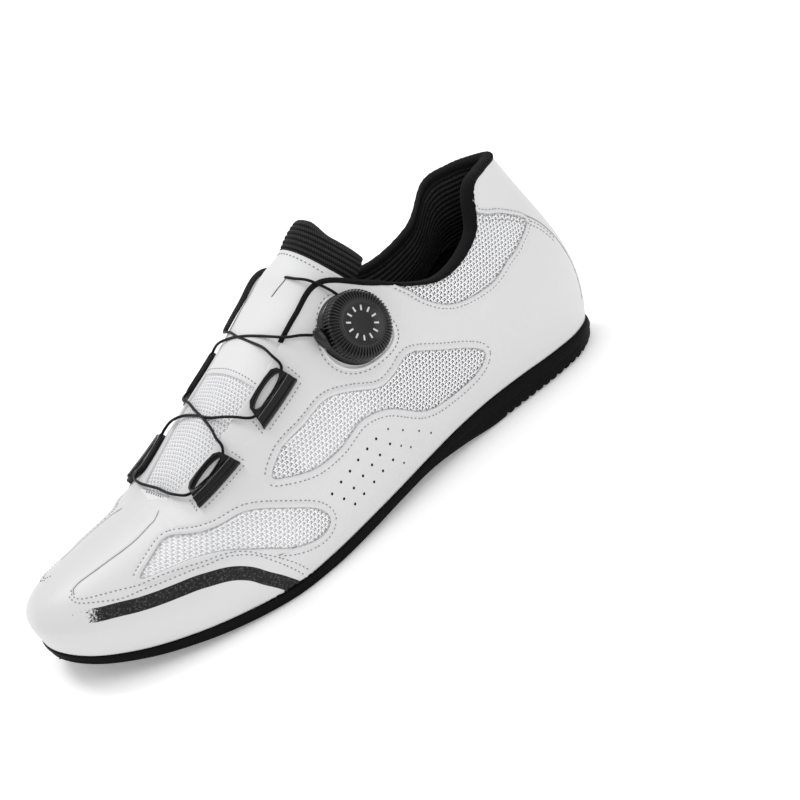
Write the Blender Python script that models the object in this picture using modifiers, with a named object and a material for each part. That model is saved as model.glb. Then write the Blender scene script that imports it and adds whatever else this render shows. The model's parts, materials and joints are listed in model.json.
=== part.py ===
# Left cycling shoe with a rotary wire closure. Metres, toe towards -Y, outer side towards +X, sole on z = 0.
import math

import bpy
import bmesh
import numpy as np
from mathutils import Matrix, Vector
from mathutils.geometry import delaunay_2d_cdt

MM = 0.001
LENGTH = 0.286
BALL_WIDTH = 0.100
INSTEP_HEIGHT = 0.093
HEEL_STACK = 0.0125
SWING = 0.011
HALFWAY = 0.49475
MIDDLE_OUT = 0.0037
WALL = 0.002
GAP = 0.0003
FOOT_GAP = 0.0005
STEP = 0.0007

# One row per section of the last, heel first. Stations are shares of the length, halves, swell and
# reach are shares of the ball width, tops and rise of the instep height, foot and under of the heel
# stack, pitch is in degrees.
LAST = (
    # station, outer, inner, foot, top_at, top_half, top, swell, rise, pitch, reach, under
    (0.018, 0.000, 0.000, 0.64, 0.048, 0.000, 0.990, 0.122, 0.340, 75, 0.36, 0.36),
    (0.033, 0.160, 0.165, 0.75, 0.061, 0.066, 0.992, 0.108, 0.340, 76, 0.36, 0.12),
    (0.082, 0.265, 0.270, 0.85, 0.094, 0.126, 0.996, 0.072, 0.310, 79, 0.33, 0.00),
    (0.145, 0.305, 0.315, 0.93, 0.136, 0.184, 0.970, 0.042, 0.280, 80, 0.28, 0.00),
    (0.210, 0.316, 0.325, 0.99, 0.180, 0.250, 0.802, 0.030, 0.237, 80, 0.22, 0.00),
    (0.280, 0.328, 0.310, 1.00, 0.269, 0.297, 0.745, 0.030, 0.215, 78, 0.18, 0.00),
    (0.350, 0.353, 0.285, 0.94, 0.362, 0.278, 0.885, 0.030, 0.237, 65, 0.20, 0.20),
    (0.420, 0.390, 0.275, 0.83, 0.430, 0.225, 1.005, 0.030, 0.301, 50, 0.24, 0.34),
    (0.490, 0.430, 0.290, 0.70, 0.486, 0.213, 0.932, 0.030, 0.344, 35, 0.24, 0.26),
    (0.560, 0.466, 0.335, 0.58, 0.557, 0.212, 0.806, 0.030, 0.323, 28, 0.24, 0.10),
    (0.630, 0.499, 0.395, 0.48, 0.629, 0.203, 0.700, 0.035, 0.301, 24, 0.24, 0.00),
    (0.700, 0.516, 0.445, 0.43, 0.690, 0.180, 0.608, 0.040, 0.280, 20, 0.24, 0.00),
    (0.770, 0.485, 0.466, 0.52, 0.748, 0.130, 0.528, 0.044, 0.265, 8, 0.26, 0.06),
    (0.838, 0.427, 0.458, 0.66, 0.770, 0.000, 0.512, 0.046, 0.245, 0, 0.27, 0.22),
    (0.905, 0.330, 0.410, 0.87, 0.830, 0.000, 0.478, 0.048, 0.230, 0, 0.26, 0.46),
    (0.960, 0.188, 0.285, 1.16, 0.880, 0.000, 0.452, 0.050, 0.222, 0, 0.24, 0.76),
    (0.984, 0.000, 0.000, 1.40, 0.902, 0.000, 0.440, 0.054, 0.212, 0, 0.22, 0.98),
)
TOE = len(LAST) - 1
RING = 2 * TOE
THROAT_BASE = 13
RING_STEP = 0.4
UPPER_RISES = 12
THROAT_HANDLE = 0.36
NEAR = 0.02

# The side wall of the outsole, top edge first: how far out of the foot line, and the share of the
# way down to the tread.
SOLE_SIDE = (
    # out, down
    (0.0000, 0.00),
    (0.0009, 0.12),
    (0.0010, 0.40),
    (0.0001, 0.46),
    (0.0000, 0.78),
    (-0.0012, 0.93),
    (-0.0032, 1.00),
)

# Sunk mesh windows, each a closed outline: place along the ring of sections, share of the way up.
WINDOWS = {
    "forefoot": ((13.6, 0.51), (12.95, 0.65), (12.3, 0.65), (11.7, 0.60), (11.1, 0.55), (10.4, 0.38),
                 (9.85, 0.24), (9.75, 0.15), (10.1, 0.12), (10.7, 0.18), (11.4, 0.30), (12.2, 0.45),
                 (13.0, 0.46)),
    "midfoot": ((10.3, 0.58), (9.8, 0.64), (9.2, 0.62), (8.6, 0.60), (8.0, 0.51), (7.4, 0.43),
                (6.9, 0.44), (6.3, 0.52), (5.7, 0.50), (5.1, 0.45), (4.7, 0.33), (5.0, 0.24),
                (5.8, 0.20), (6.6, 0.21), (7.4, 0.32), (8.1, 0.37), (8.8, 0.37), (9.5, 0.41),
                (10.1, 0.51)),
    "ankle": ((5.7, 0.93), (5.5, 0.825), (4.8, 0.76), (4.0, 0.68), (3.2, 0.60), (2.4, 0.59),
              (1.75, 0.65), (2.2, 0.75), (3.1, 0.87), (4.2, 0.93)),
}

# Tread grooves in rows across the sole: zone, first and last station, pitch, width, depth, half
# angle of the chevron in degrees, rim left at the edge.
GROOVES = (
    # first, last, pitch, width, depth, angle, rim
    (0.040, 0.262, 0.0048, 0.0020, 0.0016, 0, -0.004),
    (0.575, 0.760, 0.0075, 0.0020, 0.0013, 24, 0.009),
    (0.800, 0.925, 0.0090, 0.0022, 0.0013, -32, 0.009),
)

INSOLE_INSET = 0.0030
INSOLE_THICK = 0.0034

LINING_FRONT = 6.7
LINING_DEPTH = 0.30
LINING_THICK = 0.0045
LINING_THIN = 0.0020
LINING_ROLL = 0.0018
LINING_LOW = 0.35

TONGUE_THICK = 0.0026
TONGUE_SHARE = 0.62
TONGUE_FROM = 13.5
TONGUE_TO = 7.3
TONGUE_WRAP = 0.15
TONGUE_RISE = math.radians(32)
TONGUE_WHITE = 0.0105
CUFF_LENGTH = 0.0150
CUFF_HALF = 0.0180
CUFF_DROP = 0.0205
CUFF_ARC = math.radians(100)

# Wire guides: place along the ring from the heel, share of the way up.
GUIDES = {
    "outer_upper": (9.28, 0.882),
    "outer_lower": (11.17, 0.875),
    "inner_upper": (9.25, 0.915),
    "inner_lower": (11.15, 0.905),
}
GUIDE_LENGTH = 0.0215
GUIDE_WIDTH = 0.0118
GUIDE_HEIGHT = 0.0030
GUIDE_DEPTH = 0.0072
GUIDE_CORNER = 0.0008
SLOT_OFFSET = 0.0022
SLOT_WIDTH = 0.0042
SLOT_LENGTH = 0.0155
STRAP_AT = (7.75, 0.935)
STRAP_LENGTH = 0.0290
STRAP_WIDTH = 0.0050
STRAP_HEIGHT = 0.0022

DIAL_AT = (7.15, 0.715)
DIAL_RADIUS = 0.0146
DIAL_TAPER = 0.86
DIAL_BASE_HEIGHT = 0.0034
DIAL_BASE_DEPTH = 0.0080
DIAL_KNOB_HEIGHT = 0.0068
WIRE_RADIUS = 0.0006

# Knots of each run of wire: place along the ring, share across the throat, lift from the arch in mm.
WIRES = {
    "wire_top": (
        ((7.00, -0.065, 2.2), (7.06, -0.02, 1.8), (7.16, 0.08, 0.8), (7.30, 0.22, -0.9), (7.36, 0.32, -1.3)),
    ),
    "wire_upper_cross": (
        ((8.60, 0.84, -0.2), (8.70, 0.66, -0.9), (8.75, 0.40, -1.0), (8.74, 0.16, 0.2), (8.76, 0.00, 1.7),
         (8.72, -0.06, 1.9)),
        ((8.16, -0.10, 2.0), (8.36, -0.03, 1.9), (8.50, 0.10, 0.8), (8.60, 0.28, -0.7), (8.68, 0.50, -1.0),
         (8.72, 0.76, -0.4), (8.76, 0.96, 1.4), (8.72, 1.06, 1.9)),
    ),
    "wire_lower_cross": (
        ((9.86, -0.09, 1.9), (9.98, -0.02, 1.8), (10.10, 0.10, 0.8), (10.25, 0.31, -0.8),
         (10.30, 0.56, -1.0), (10.33, 0.80, 0.0), (10.44, 0.97, 1.7), (10.54, 1.05, 1.9)),
        ((10.58, -0.06, 1.9), (10.53, 0.02, 1.6), (10.44, 0.16, 0.4), (10.31, 0.42, -0.9),
         (10.18, 0.66, -0.8), (10.02, 0.86, 0.4), (9.96, 0.98, 1.7), (9.90, 1.06, 1.9)),
    ),
    "wire_bottom": (
        ((11.80, -0.09, 1.9), (12.00, -0.01, 1.8), (12.08, 0.15, 0.8), (12.12, 0.50, 0.2),
         (12.08, 0.85, 0.8), (12.00, 1.01, 1.8), (11.80, 1.09, 1.9)),
    ),
}

for old in list(bpy.data.objects):
    bpy.data.objects.remove(old, do_unlink=True)
shoe = bpy.data.collections.new("cycling_shoe")
cutters = bpy.data.collections.new("cutters")
for group in (shoe, cutters):
    bpy.context.scene.collection.children.link(group)


def material(name, colour, roughness, metallic=0.0):
    made = bpy.data.materials.new(name)
    made.use_nodes = True
    shader = made.node_tree.nodes["Principled BSDF"]
    shader.inputs["Base Color"].default_value = (*colour, 1)
    shader.inputs["Roughness"].default_value = roughness
    shader.inputs["Metallic"].default_value = metallic
    return made


WHITE_LEATHER = material("white_leather", (0.80, 0.80, 0.81), 0.48)
BLACK_RUBBER = material("black_rubber", (0.018, 0.018, 0.019), 0.62)
BLACK_KNIT = material("black_knit", (0.022, 0.022, 0.023), 0.92)
GREY_FOAM = material("dark_footbed", (0.05, 0.05, 0.052), 0.90)
BLACK_PLASTIC = material("black_plastic", (0.020, 0.020, 0.021), 0.38)
BLACK_WIRE = material("black_wire", (0.024, 0.024, 0.025), 0.42)


def smooth_loop(knots, at):
    """Points of the closed smooth curve through the knots, knot k at place k."""
    low = np.floor(at).astype(int)
    t = (at - low)[..., None]
    a, b, c, d = (knots[(low + k) % len(knots)] for k in (-1, 0, 1, 2))
    bend = (2 * a - 5 * b + 4 * c - d) * t ** 2 + (3 * b - a - 3 * c + d) * t ** 3
    return 0.5 * (2 * b + (c - a) * t + bend)


def cubic(a, b, c, d, t):
    return (1 - t) ** 3 * a + 3 * (1 - t) ** 2 * t * b + 3 * (1 - t) * t ** 2 * c + t ** 3 * d


def ring_values(ring):
    """Values of the table at places along the ring: 0 at the heel, TOE at the toe, on to RING along
    the inner side back to the heel."""
    table = np.array(LAST)
    rows = table[list(range(TOE + 1)) + list(range(TOE - 1, 0, -1))]
    sign = np.array([1.0] * (TOE + 1) + [-1.0] * (TOE - 1))
    half = np.where(sign > 0, rows[:, 1], rows[:, 2]) * sign
    knots = np.column_stack((rows[:, 0], half, rows[:, 3:5], rows[:, 5] * sign, rows[:, 6:]))
    at = np.asarray(ring, float) % RING
    found = smooth_loop(knots, at)
    top = np.where(at <= TOE, np.maximum(found[..., 4], 0), np.minimum(found[..., 4], 0))
    found[..., 4] = np.where(np.abs(at - TOE) < TOE - THROAT_BASE, 0, top)
    return found


def unit(vectors):
    return vectors / np.maximum(np.linalg.norm(vectors, axis=-1, keepdims=True), 1e-12)


def middle(station):
    """The last's centre line, which swings inwards at the toe."""
    return MIDDLE_OUT - SWING * np.clip(station, 0, 1) ** 2


def along(station):
    return LENGTH * (HALFWAY - station)


def edge_point(station, half, height):
    return np.stack((middle(station) + half * BALL_WIDTH, along(station), height), -1)


def foot_line(ring):
    v = ring_values(ring)
    return edge_point(v[..., 0], v[..., 1], v[..., 2] * HEEL_STACK)


def top_line(ring):
    v = ring_values(ring)
    return edge_point(v[..., 3], v[..., 4], v[..., 5] * INSTEP_HEIGHT)


def foot_outward(ring):
    run = foot_line(ring + NEAR) - foot_line(ring - NEAR)
    return unit(np.stack((-run[..., 1], run[..., 0], 0 * run[..., 0]), -1))


def roof(ring):
    """Direction of the side as it leaves the top line, downwards and out."""
    pitch = ring_values(ring)[..., 8]
    lean = unit((foot_line(ring) - top_line(ring)) * (1, 1, 0))
    run = top_line(ring + NEAR) - top_line(ring - NEAR)
    fall = np.clip(run[..., 2] / np.where(np.abs(run[..., 1]) > 1e-6, run[..., 1], 1e-6), -0.6, 0.6)
    down = lean * np.cos(np.radians(pitch))[..., None]
    down[..., 2] += np.clip(1 - pitch / 30, 0, 1) * lean[..., 1] * fall - np.sin(np.radians(pitch))
    return down


def side(ring, up):
    """Points on the outer face of the upper, from the sole (up 0) to the top line (up 1)."""
    v = ring_values(ring)
    foot, top = foot_line(ring), top_line(ring)
    low = foot + foot_outward(ring) * (v[..., 6] * BALL_WIDTH)[..., None]
    low[..., 2] += v[..., 7] * INSTEP_HEIGHT
    high = top + roof(ring) * (v[..., 9] * BALL_WIDTH)[..., None]
    return cubic(foot, low, high, top, np.asarray(up, float)[..., None])


def throat(ring, across):
    """Points of the arch over the throat, from its outer edge (across 0) to its inner edge (1)."""
    left, right = top_line(ring), top_line(RING - ring)
    handle = np.linalg.norm(right - left, axis=-1, keepdims=True) * THROAT_HANDLE
    high_left, high_right = left - roof(ring) * handle, right - roof(RING - ring) * handle
    return cubic(left, high_left, high_right, right, np.asarray(across, float)[..., None])


def side_normal(ring, up):
    forward = side(ring + NEAR, up) - side(ring - NEAR, up)
    rise = side(ring, np.minimum(up + NEAR / 2, 1)) - side(ring, np.maximum(up - NEAR / 2, 0))
    return unit(np.cross(rise, forward))


def grid_normals(points):
    """Normals of a grid of points, first index along, second across."""
    return unit(np.cross(np.gradient(points, axis=0), np.gradient(points, axis=1)))


def link(name, mesh, look, group):
    """A new object in its collection: a part with its material, or a hidden cutter."""
    made = bpy.data.objects.new(name, mesh)
    group.objects.link(made)
    if look is not None:
        mesh.materials.append(look)
    if group is cutters:
        made.hide_render = True
        made.display_type = "WIRE"
    return made


def add_mesh(name, verts, faces, look, group=shoe, smooth=True):
    mesh = bpy.data.meshes.new(name)
    mesh.from_pydata([tuple(v) for v in verts], [], faces)
    made = link(name, mesh, look, group)
    work = bmesh.new()
    work.from_mesh(mesh)
    bmesh.ops.remove_doubles(work, verts=work.verts, dist=2e-5)
    bmesh.ops.recalc_face_normals(work, faces=work.faces)
    if group is cutters:
        bmesh.ops.triangulate(work, faces=work.faces)
    for face in work.faces:
        face.smooth = smooth
    work.to_mesh(mesh)
    work.free()
    return made


def sheet_faces(rows, columns, closed=False):
    faces = []
    for i in range(rows if closed else rows - 1):
        a, b = i * columns, (i + 1) % rows * columns
        faces += [(a + j, b + j, b + j + 1, a + j + 1) for j in range(columns - 1)]
    return faces


def slab(name, outer, inner, look, group=shoe, closed=False):
    """A closed solid between two grids of points of the same size."""
    rows, columns = outer.shape[:2]
    size = rows * columns
    faces = sheet_faces(rows, columns, closed)
    faces += [tuple(size + k for k in reversed(face)) for face in faces]
    for j in (0, columns - 1):
        for i in range(rows if closed else rows - 1):
            a, b = i * columns + j, (i + 1) % rows * columns + j
            faces.append((a, size + a, size + b, b) if j == 0 else (a, b, size + b, size + a))
    if not closed:
        for i in (0, rows - 1):
            for j in range(columns - 1):
                a, b = i * columns + j, i * columns + j + 1
                faces.append((a, b, size + b, size + a) if i == 0 else (a, size + a, size + b, b))
    return add_mesh(name, np.concatenate((outer.reshape(-1, 3), inner.reshape(-1, 3))), faces, look, group)


def cut(target, cutter, kind="DIFFERENCE"):
    step = target.modifiers.new(cutter.name, "BOOLEAN")
    step.operation = kind
    step.solver = "EXACT"
    step.object = cutter
    return step


def solid(name, build, matrix, look=None, group=shoe, scale=(1, 1, 1), **sizes):
    """A plain solid of the given build and sizes, scaled and then placed by the matrix."""
    work = bmesh.new()
    build(work, **sizes)
    bmesh.ops.scale(work, vec=scale, verts=work.verts)
    mesh = bpy.data.meshes.new(name)
    work.to_mesh(mesh)
    work.free()
    made = link(name, mesh, look, group)
    made.matrix_world = matrix
    return made


def surface_frame(ring, up, lift=0.0):
    """Placing on the upper: X along the ring, Y down the side, Z out of it."""
    z = Vector(side_normal(ring, up))
    x = Vector(side(ring + NEAR, up) - side(ring - NEAR, up))
    x = (x - z * x.dot(z)).normalized()
    matrix = Matrix((x, z.cross(x), z)).transposed().to_4x4()
    matrix.translation = Vector(side(ring, up)) + z * lift
    return matrix


# Upper
rings = np.arange(0, RING, RING_STEP)
rises = np.linspace(0, 1, UPPER_RISES + 1)
outer_face = side(*np.meshgrid(rings, rises, indexing="ij"))
faces = sheet_faces(len(rings), len(rises), True)
upper = add_mesh("upper", outer_face.reshape(-1, 3), faces, WHITE_LEATHER)
shell = upper.modifiers.new("wall", "SOLIDIFY")
shell.thickness = WALL
shell.offset = -1
shell.use_even_offset = True
upper.modifiers.new("flat_faces", "TRIANGULATE")


def inside(point, outline):
    x, y = point
    hits = 0
    for (x1, y1), (x2, y2) in zip(outline, np.roll(outline, -1, axis=0)):
        if (y1 > y) != (y2 > y) and x < (x2 - x1) * (y - y1) / (y2 - y1) + x1:
            hits += 1
    return hits % 2 == 1


def window_cutter(name, rows, mirrored):
    """A solid that follows the upper from STEP below its face to clear above it, inside an outline."""
    row_size, rise_size, spacing, clear = 0.018, 0.070, 0.009, 0.004
    outline = smooth_loop(np.array(rows), np.arange(0, len(rows), 0.5)) * (row_size, rise_size)
    low, high = outline.min(axis=0), outline.max(axis=0)
    filling = []
    for x in np.arange(low[0], high[0], spacing):
        for y in np.arange(low[1], high[1], spacing):
            nearest = np.linalg.norm(outline - (x, y), axis=1).min()
            if inside((x, y), outline) and nearest > spacing * 0.45:
                filling.append((x, y))
    flat = [Vector(p) for p in (*outline, *filling)]
    border = [(i, (i + 1) % len(outline)) for i in range(len(outline))]
    points, _, faces = delaunay_2d_cdt(flat, border, [], 1, 1e-6)[:3]
    flat = np.array([tuple(p) for p in points])
    ring, up = flat[:, 0] / row_size, flat[:, 1] / rise_size
    if mirrored:
        ring = RING - ring
    face, out = side(ring, up), side_normal(ring, up)
    verts = np.concatenate((face - out * STEP, face + out * clear))
    size = len(flat)
    sides = [(a, b, size + b, size + a) for a, b in border]
    lids = [tuple(f) for f in faces] + [tuple(size + k for k in reversed(f)) for f in faces]
    return add_mesh(name, verts, lids + sides, None, cutters, smooth=False)


for window, rows in WINDOWS.items():
    for half, mirrored in (("outer", False), ("inner", True)):
        cut(upper, window_cutter(f"{half}_{window}_window", rows, mirrored))

# Outsole
rim = foot_line(rings)
out = foot_outward(rings)
tread_height = np.maximum(ring_values(rings)[:, 10], 0) * HEEL_STACK
sole_top = rim[:, 2] - GAP
wall = np.array([rim + out * beyond for beyond, _ in SOLE_SIDE])
for level, (_, down) in zip(wall, SOLE_SIDE):
    level[:, 2] = sole_top - down * (sole_top - tread_height)
wall = wall.transpose(1, 0, 2)
count, levels = wall.shape[:2]
faces = sheet_faces(count, levels, True)
for k in range(count // 2):
    a, b = k, k + 1
    c, d = (count - b) % count, (count - a) % count
    faces.append((a * levels, b * levels, c * levels, d * levels))
    faces.append(tuple(p * levels + levels - 1 for p in (d, c, b, a)))
outsole = add_mesh("outsole", wall.reshape(-1, 3), faces, BLACK_RUBBER)

half_ring = np.linspace(0, TOE, 161)
sections = ring_values(half_ring)
inner_sections = ring_values(RING - half_ring)


def tread_at(y):
    return max(np.interp(HALFWAY - y / LENGTH, sections[:, 0], sections[:, 10]), 0) * HEEL_STACK


verts, faces = [], []
for first, last, pitch, width, depth, angle, left in GROOVES:
    for row in range(int((last - first) * LENGTH / pitch) + 1):
        station = first + row * pitch / LENGTH
        outer = np.interp(station, sections[:, 0], sections[:, 1]) * BALL_WIDTH
        inner = np.interp(station, inner_sections[:, 0], -inner_sections[:, 1]) * BALL_WIDTH
        base = len(verts)
        for x, reach in ((-inner + left, inner - left), (0, 0), (outer - left, outer - left)):
            shift = reach * math.tan(math.radians(angle))
            for edge in (-width / 2, width / 2):
                place = (middle(station) + x, along(station) + shift + edge)
                verts += [(*place, -HEEL_STACK), (*place, tread_at(place[1]) + depth)]
        for k in (0, 4):
            a, b, c, d, e, f, g, h = range(base + k, base + k + 8)
            faces += [(a, e, g, c), (b, d, h, f), (a, b, f, e), (c, g, h, d)]
        faces += [(base, base + 2, base + 3, base + 1), (base + 8, base + 9, base + 11, base + 10)]
cut(outsole, add_mesh("tread_grooves", verts, faces, None, cutters, smooth=False))

# Insole
half_rings = np.arange(0, TOE + RING_STEP / 2, RING_STEP)
lines = [foot_line(ring) - foot_outward(ring) * INSOLE_INSET for ring in (half_rings, RING - half_rings)]
bed = np.stack((lines[0], lines[1]), axis=1)
bed[..., 2] = np.interp(HALFWAY - bed[..., 1] / LENGTH, sections[:, 0], sections[:, 2]) * HEEL_STACK + GAP
slab("insole", bed + (0, 0, INSOLE_THICK), bed, GREY_FOAM)

# Padded lining round the collar
front = np.round(LINING_FRONT / RING_STEP) * RING_STEP
around = np.arange(-front, front + RING_STEP / 2, RING_STEP)
thick = np.interp(np.abs(around), (0, 5.6, front), (LINING_THICK, LINING_THICK, LINING_THIN))
start = WALL + 2 * GAP


def lined(depth, up, lift=0.0):
    """A line round the collar, depth inside the upper's outer face."""
    level = np.full_like(around, up)
    return side(around, level) - side_normal(around, level) * np.reshape(depth, (-1, 1)) + (0, 0, lift)


bottom, half_way = 1 - LINING_DEPTH, 1 - LINING_DEPTH / 2
loops = np.stack((
    lined(start + 0 * thick, bottom), lined(start + 0 * thick, half_way), lined(start + 0 * thick, 1),
    lined(start + 0.25 * thick, 1, LINING_ROLL), lined(start + 0.75 * thick, 1, LINING_ROLL),
    lined(start + thick, 1), lined(start + 0.9 * thick, half_way), lined(start + LINING_LOW * thick, bottom),
), axis=1)
count, levels = loops.shape[:2]
faces = [tuple(range(levels)), tuple(range((count - 1) * levels, count * levels))]
for i in range(count - 1):
    a, b = i * levels, (i + 1) * levels
    faces += [(a + j, a + (j + 1) % levels, b + (j + 1) % levels, b + j) for j in range(levels)]
add_mesh("collar_lining", loops.reshape(-1, 3), faces, BLACK_KNIT)

# Tongue and its knit top
columns = np.linspace(-1, 1, 13)


def over_throat(ring, across):
    """Points across the instep: across 0 to 1 over the throat, and beyond it down the sides."""
    if across < 0:
        return side(ring, 1 + across)
    if across > 1:
        return side(RING - ring, 2 - across)
    return throat(ring, across)


def tongue_row(ring):
    """Points across the instep at a place along the ring, from under one side to under the other."""
    share = TONGUE_SHARE if ring < THROAT_BASE - 0.2 else 0.0
    wrap = np.interp(ring, (TONGUE_TO, TONGUE_TO + 1, THROAT_BASE - 0.3, THROAT_BASE),
                     (0.04, TONGUE_WRAP, TONGUE_WRAP, 2 * TONGUE_WRAP))
    row = []
    for s in columns:
        beyond = max(abs(s) - share, 0) / (1 - share)
        inner = 0.5 - 0.5 * s / share if share and not beyond else float(s <= 0)
        row.append(over_throat(ring, inner + (-1 if s > 0 else 1) * beyond * wrap))
    return np.array(row)


low_rows = [tongue_row(ring) for ring in np.linspace(TONGUE_FROM, TONGUE_TO, 11)]
slope = np.array((0, math.cos(TONGUE_RISE), math.sin(TONGUE_RISE)))
sink = np.array((0, math.sin(TONGUE_RISE), -math.cos(TONGUE_RISE)))
crown = low_rows[-1][len(columns) // 2]
spread = np.outer(np.sin(columns * CUFF_ARC), (CUFF_HALF, 0, 0))
arch = crown + spread + np.outer(1 - np.cos(columns * CUFF_ARC), sink * CUFF_DROP)


def high_row(travel):
    blend = min(travel / TONGUE_WHITE, 1)
    return (low_rows[-1] * (1 - blend) + arch * blend) + slope * travel


white_rows = [high_row(TONGUE_WHITE * k / 3) for k in (1, 2, 3)]
cuff_rows = [high_row(TONGUE_WHITE + 2 * GAP + CUFF_LENGTH * k / 3) for k in range(4)]
surface = np.array(low_rows + white_rows + cuff_rows)
normal = grid_normals(surface)
normal *= np.sign(normal[len(low_rows) // 2, len(columns) // 2, 2])
face = surface - normal * (WALL + 3 * GAP)
back = surface - normal * (WALL + 3 * GAP + TONGUE_THICK)
split = len(low_rows) + len(white_rows)
slab("tongue", face[:split], back[:split], WHITE_LEATHER)
slab("tongue_cuff", face[split:], back[split:], BLACK_KNIT)


def skin_cutter(name, ring, up, ring_span, up_span):
    """A solid that covers the upper under a fitting and a gap above it, to shape the fitting's foot."""
    ring_at = np.linspace(ring - ring_span, ring + ring_span, 9)
    up_at = np.linspace(up - up_span, min(up + up_span, 1), 7)
    ring_at, up_at = np.meshgrid(ring_at, up_at, indexing="ij")
    base, lift = side(ring_at, up_at), side_normal(ring_at, up_at)
    past_edge = unit(base[:, -1:] - base[:, -2:-1]) * 3 * WALL
    base = np.concatenate((base, base[:, -1:] + past_edge), axis=1)
    lift = np.concatenate((lift, lift[:, -1:]), axis=1)
    return slab(name, base + lift * FOOT_GAP, base - lift * 6 * WALL, None, cutters)


def rounded_block(name, size, corner, matrix, look):
    block = solid(name, bmesh.ops.create_cube, matrix, look, scale=size, size=1.0)
    edge = block.modifiers.new("corner", "BEVEL")
    edge.width = corner
    edge.segments = 2
    edge.limit_method = "ANGLE"
    return block


def disc(name, radius, top_radius, height, matrix, segments, look=None, group=shoe, scale=(1, 1, 1)):
    return solid(name, bmesh.ops.create_cone, matrix, look, group, scale, cap_ends=True, segments=segments,
                 radius1=radius, radius2=top_radius, depth=height)


# Wire guides
for name, (ring, up) in GUIDES.items():
    ring = RING - ring if name.startswith("inner") else ring
    frame = surface_frame(ring, up)
    body = frame @ Matrix.Translation((0, 0, GUIDE_HEIGHT - GUIDE_DEPTH / 2))
    size = (GUIDE_LENGTH, GUIDE_WIDTH, GUIDE_DEPTH)
    guide = rounded_block(name + "_guide", size, GUIDE_CORNER, body, BLACK_PLASTIC)
    slot_frame = frame @ Matrix.Translation((0, -SLOT_OFFSET, 0))
    slot_scale = (SLOT_LENGTH, SLOT_WIDTH, 1)
    cut(guide, disc(name + "_slot", 0.5, 0.5, 4 * GUIDE_DEPTH, slot_frame, 16, None, cutters, slot_scale))
    cut(guide, skin_cutter(name + "_foot", ring, up, 0.9, 0.16))

ring, up = RING - STRAP_AT[0], STRAP_AT[1]
size = (STRAP_LENGTH, STRAP_WIDTH, 2 * STRAP_HEIGHT)
frame = surface_frame(ring, up, STRAP_HEIGHT / 2)
strap = rounded_block("inner_strap_guide", size, STRAP_HEIGHT / 4, frame, BLACK_KNIT)
cut(strap, skin_cutter("strap_foot", ring, up, 1.0, 0.14))

# Dial
frame = surface_frame(*DIAL_AT)
low = frame @ Matrix.Translation((0, 0, DIAL_BASE_HEIGHT - DIAL_BASE_DEPTH / 2))
base = disc("dial_base", DIAL_RADIUS, DIAL_RADIUS, DIAL_BASE_DEPTH, low, 40, BLACK_PLASTIC)
cut(base, skin_cutter("dial_foot", *DIAL_AT, 1.1, 0.26))
high = frame @ Matrix.Translation((0, 0, DIAL_BASE_HEIGHT + GAP + DIAL_KNOB_HEIGHT / 2))
disc("dial_knob", DIAL_RADIUS, DIAL_RADIUS * DIAL_TAPER, DIAL_KNOB_HEIGHT, high, 40, BLACK_PLASTIC)


# Wire
def lifted(ring, across, lift):
    forward = over_throat(ring + NEAR, across) - over_throat(ring - NEAR, across)
    aside = over_throat(ring, across + NEAR / 2) - over_throat(ring, across - NEAR / 2)
    out = unit(np.cross(forward, aside))
    return over_throat(ring, across) + out * np.sign(out[2]) * lift * MM


def wire(name, rows, look, group):
    """A round run of wire through the rows, closed at its ends."""
    curve = bpy.data.curves.new(name, "CURVE")
    curve.dimensions = "3D"
    curve.bevel_depth = WIRE_RADIUS
    curve.bevel_resolution = 0
    curve.use_fill_caps = True
    curve.resolution_u = 2
    spline = curve.splines.new("NURBS")
    spline.points.add(len(rows) - 1)
    for point, row in zip(spline.points, rows):
        point.co = (*lifted(*row), 1)
    spline.use_endpoint_u = True
    spline.order_u = 3
    drawn = bpy.data.objects.new(name + "_line", curve)
    bpy.context.scene.collection.objects.link(drawn)
    mesh = bpy.data.meshes.new_from_object(drawn.evaluated_get(bpy.context.evaluated_depsgraph_get()))
    bpy.data.objects.remove(drawn)
    mesh.materials.clear()
    work = bmesh.new()
    work.from_mesh(mesh)
    bmesh.ops.remove_doubles(work, verts=work.verts, dist=1e-6)
    bmesh.ops.recalc_face_normals(work, faces=work.faces)
    for face in work.faces:
        face.smooth = len(face.verts) == 4
    work.to_mesh(mesh)
    work.free()
    return link(name, mesh, look, group)


for name, (first, *others) in WIRES.items():
    made = wire(name, first, BLACK_WIRE, shoe)
    for other in others:
        cut(made, wire(name + "_other", other, None, cutters), "UNION")
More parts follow.
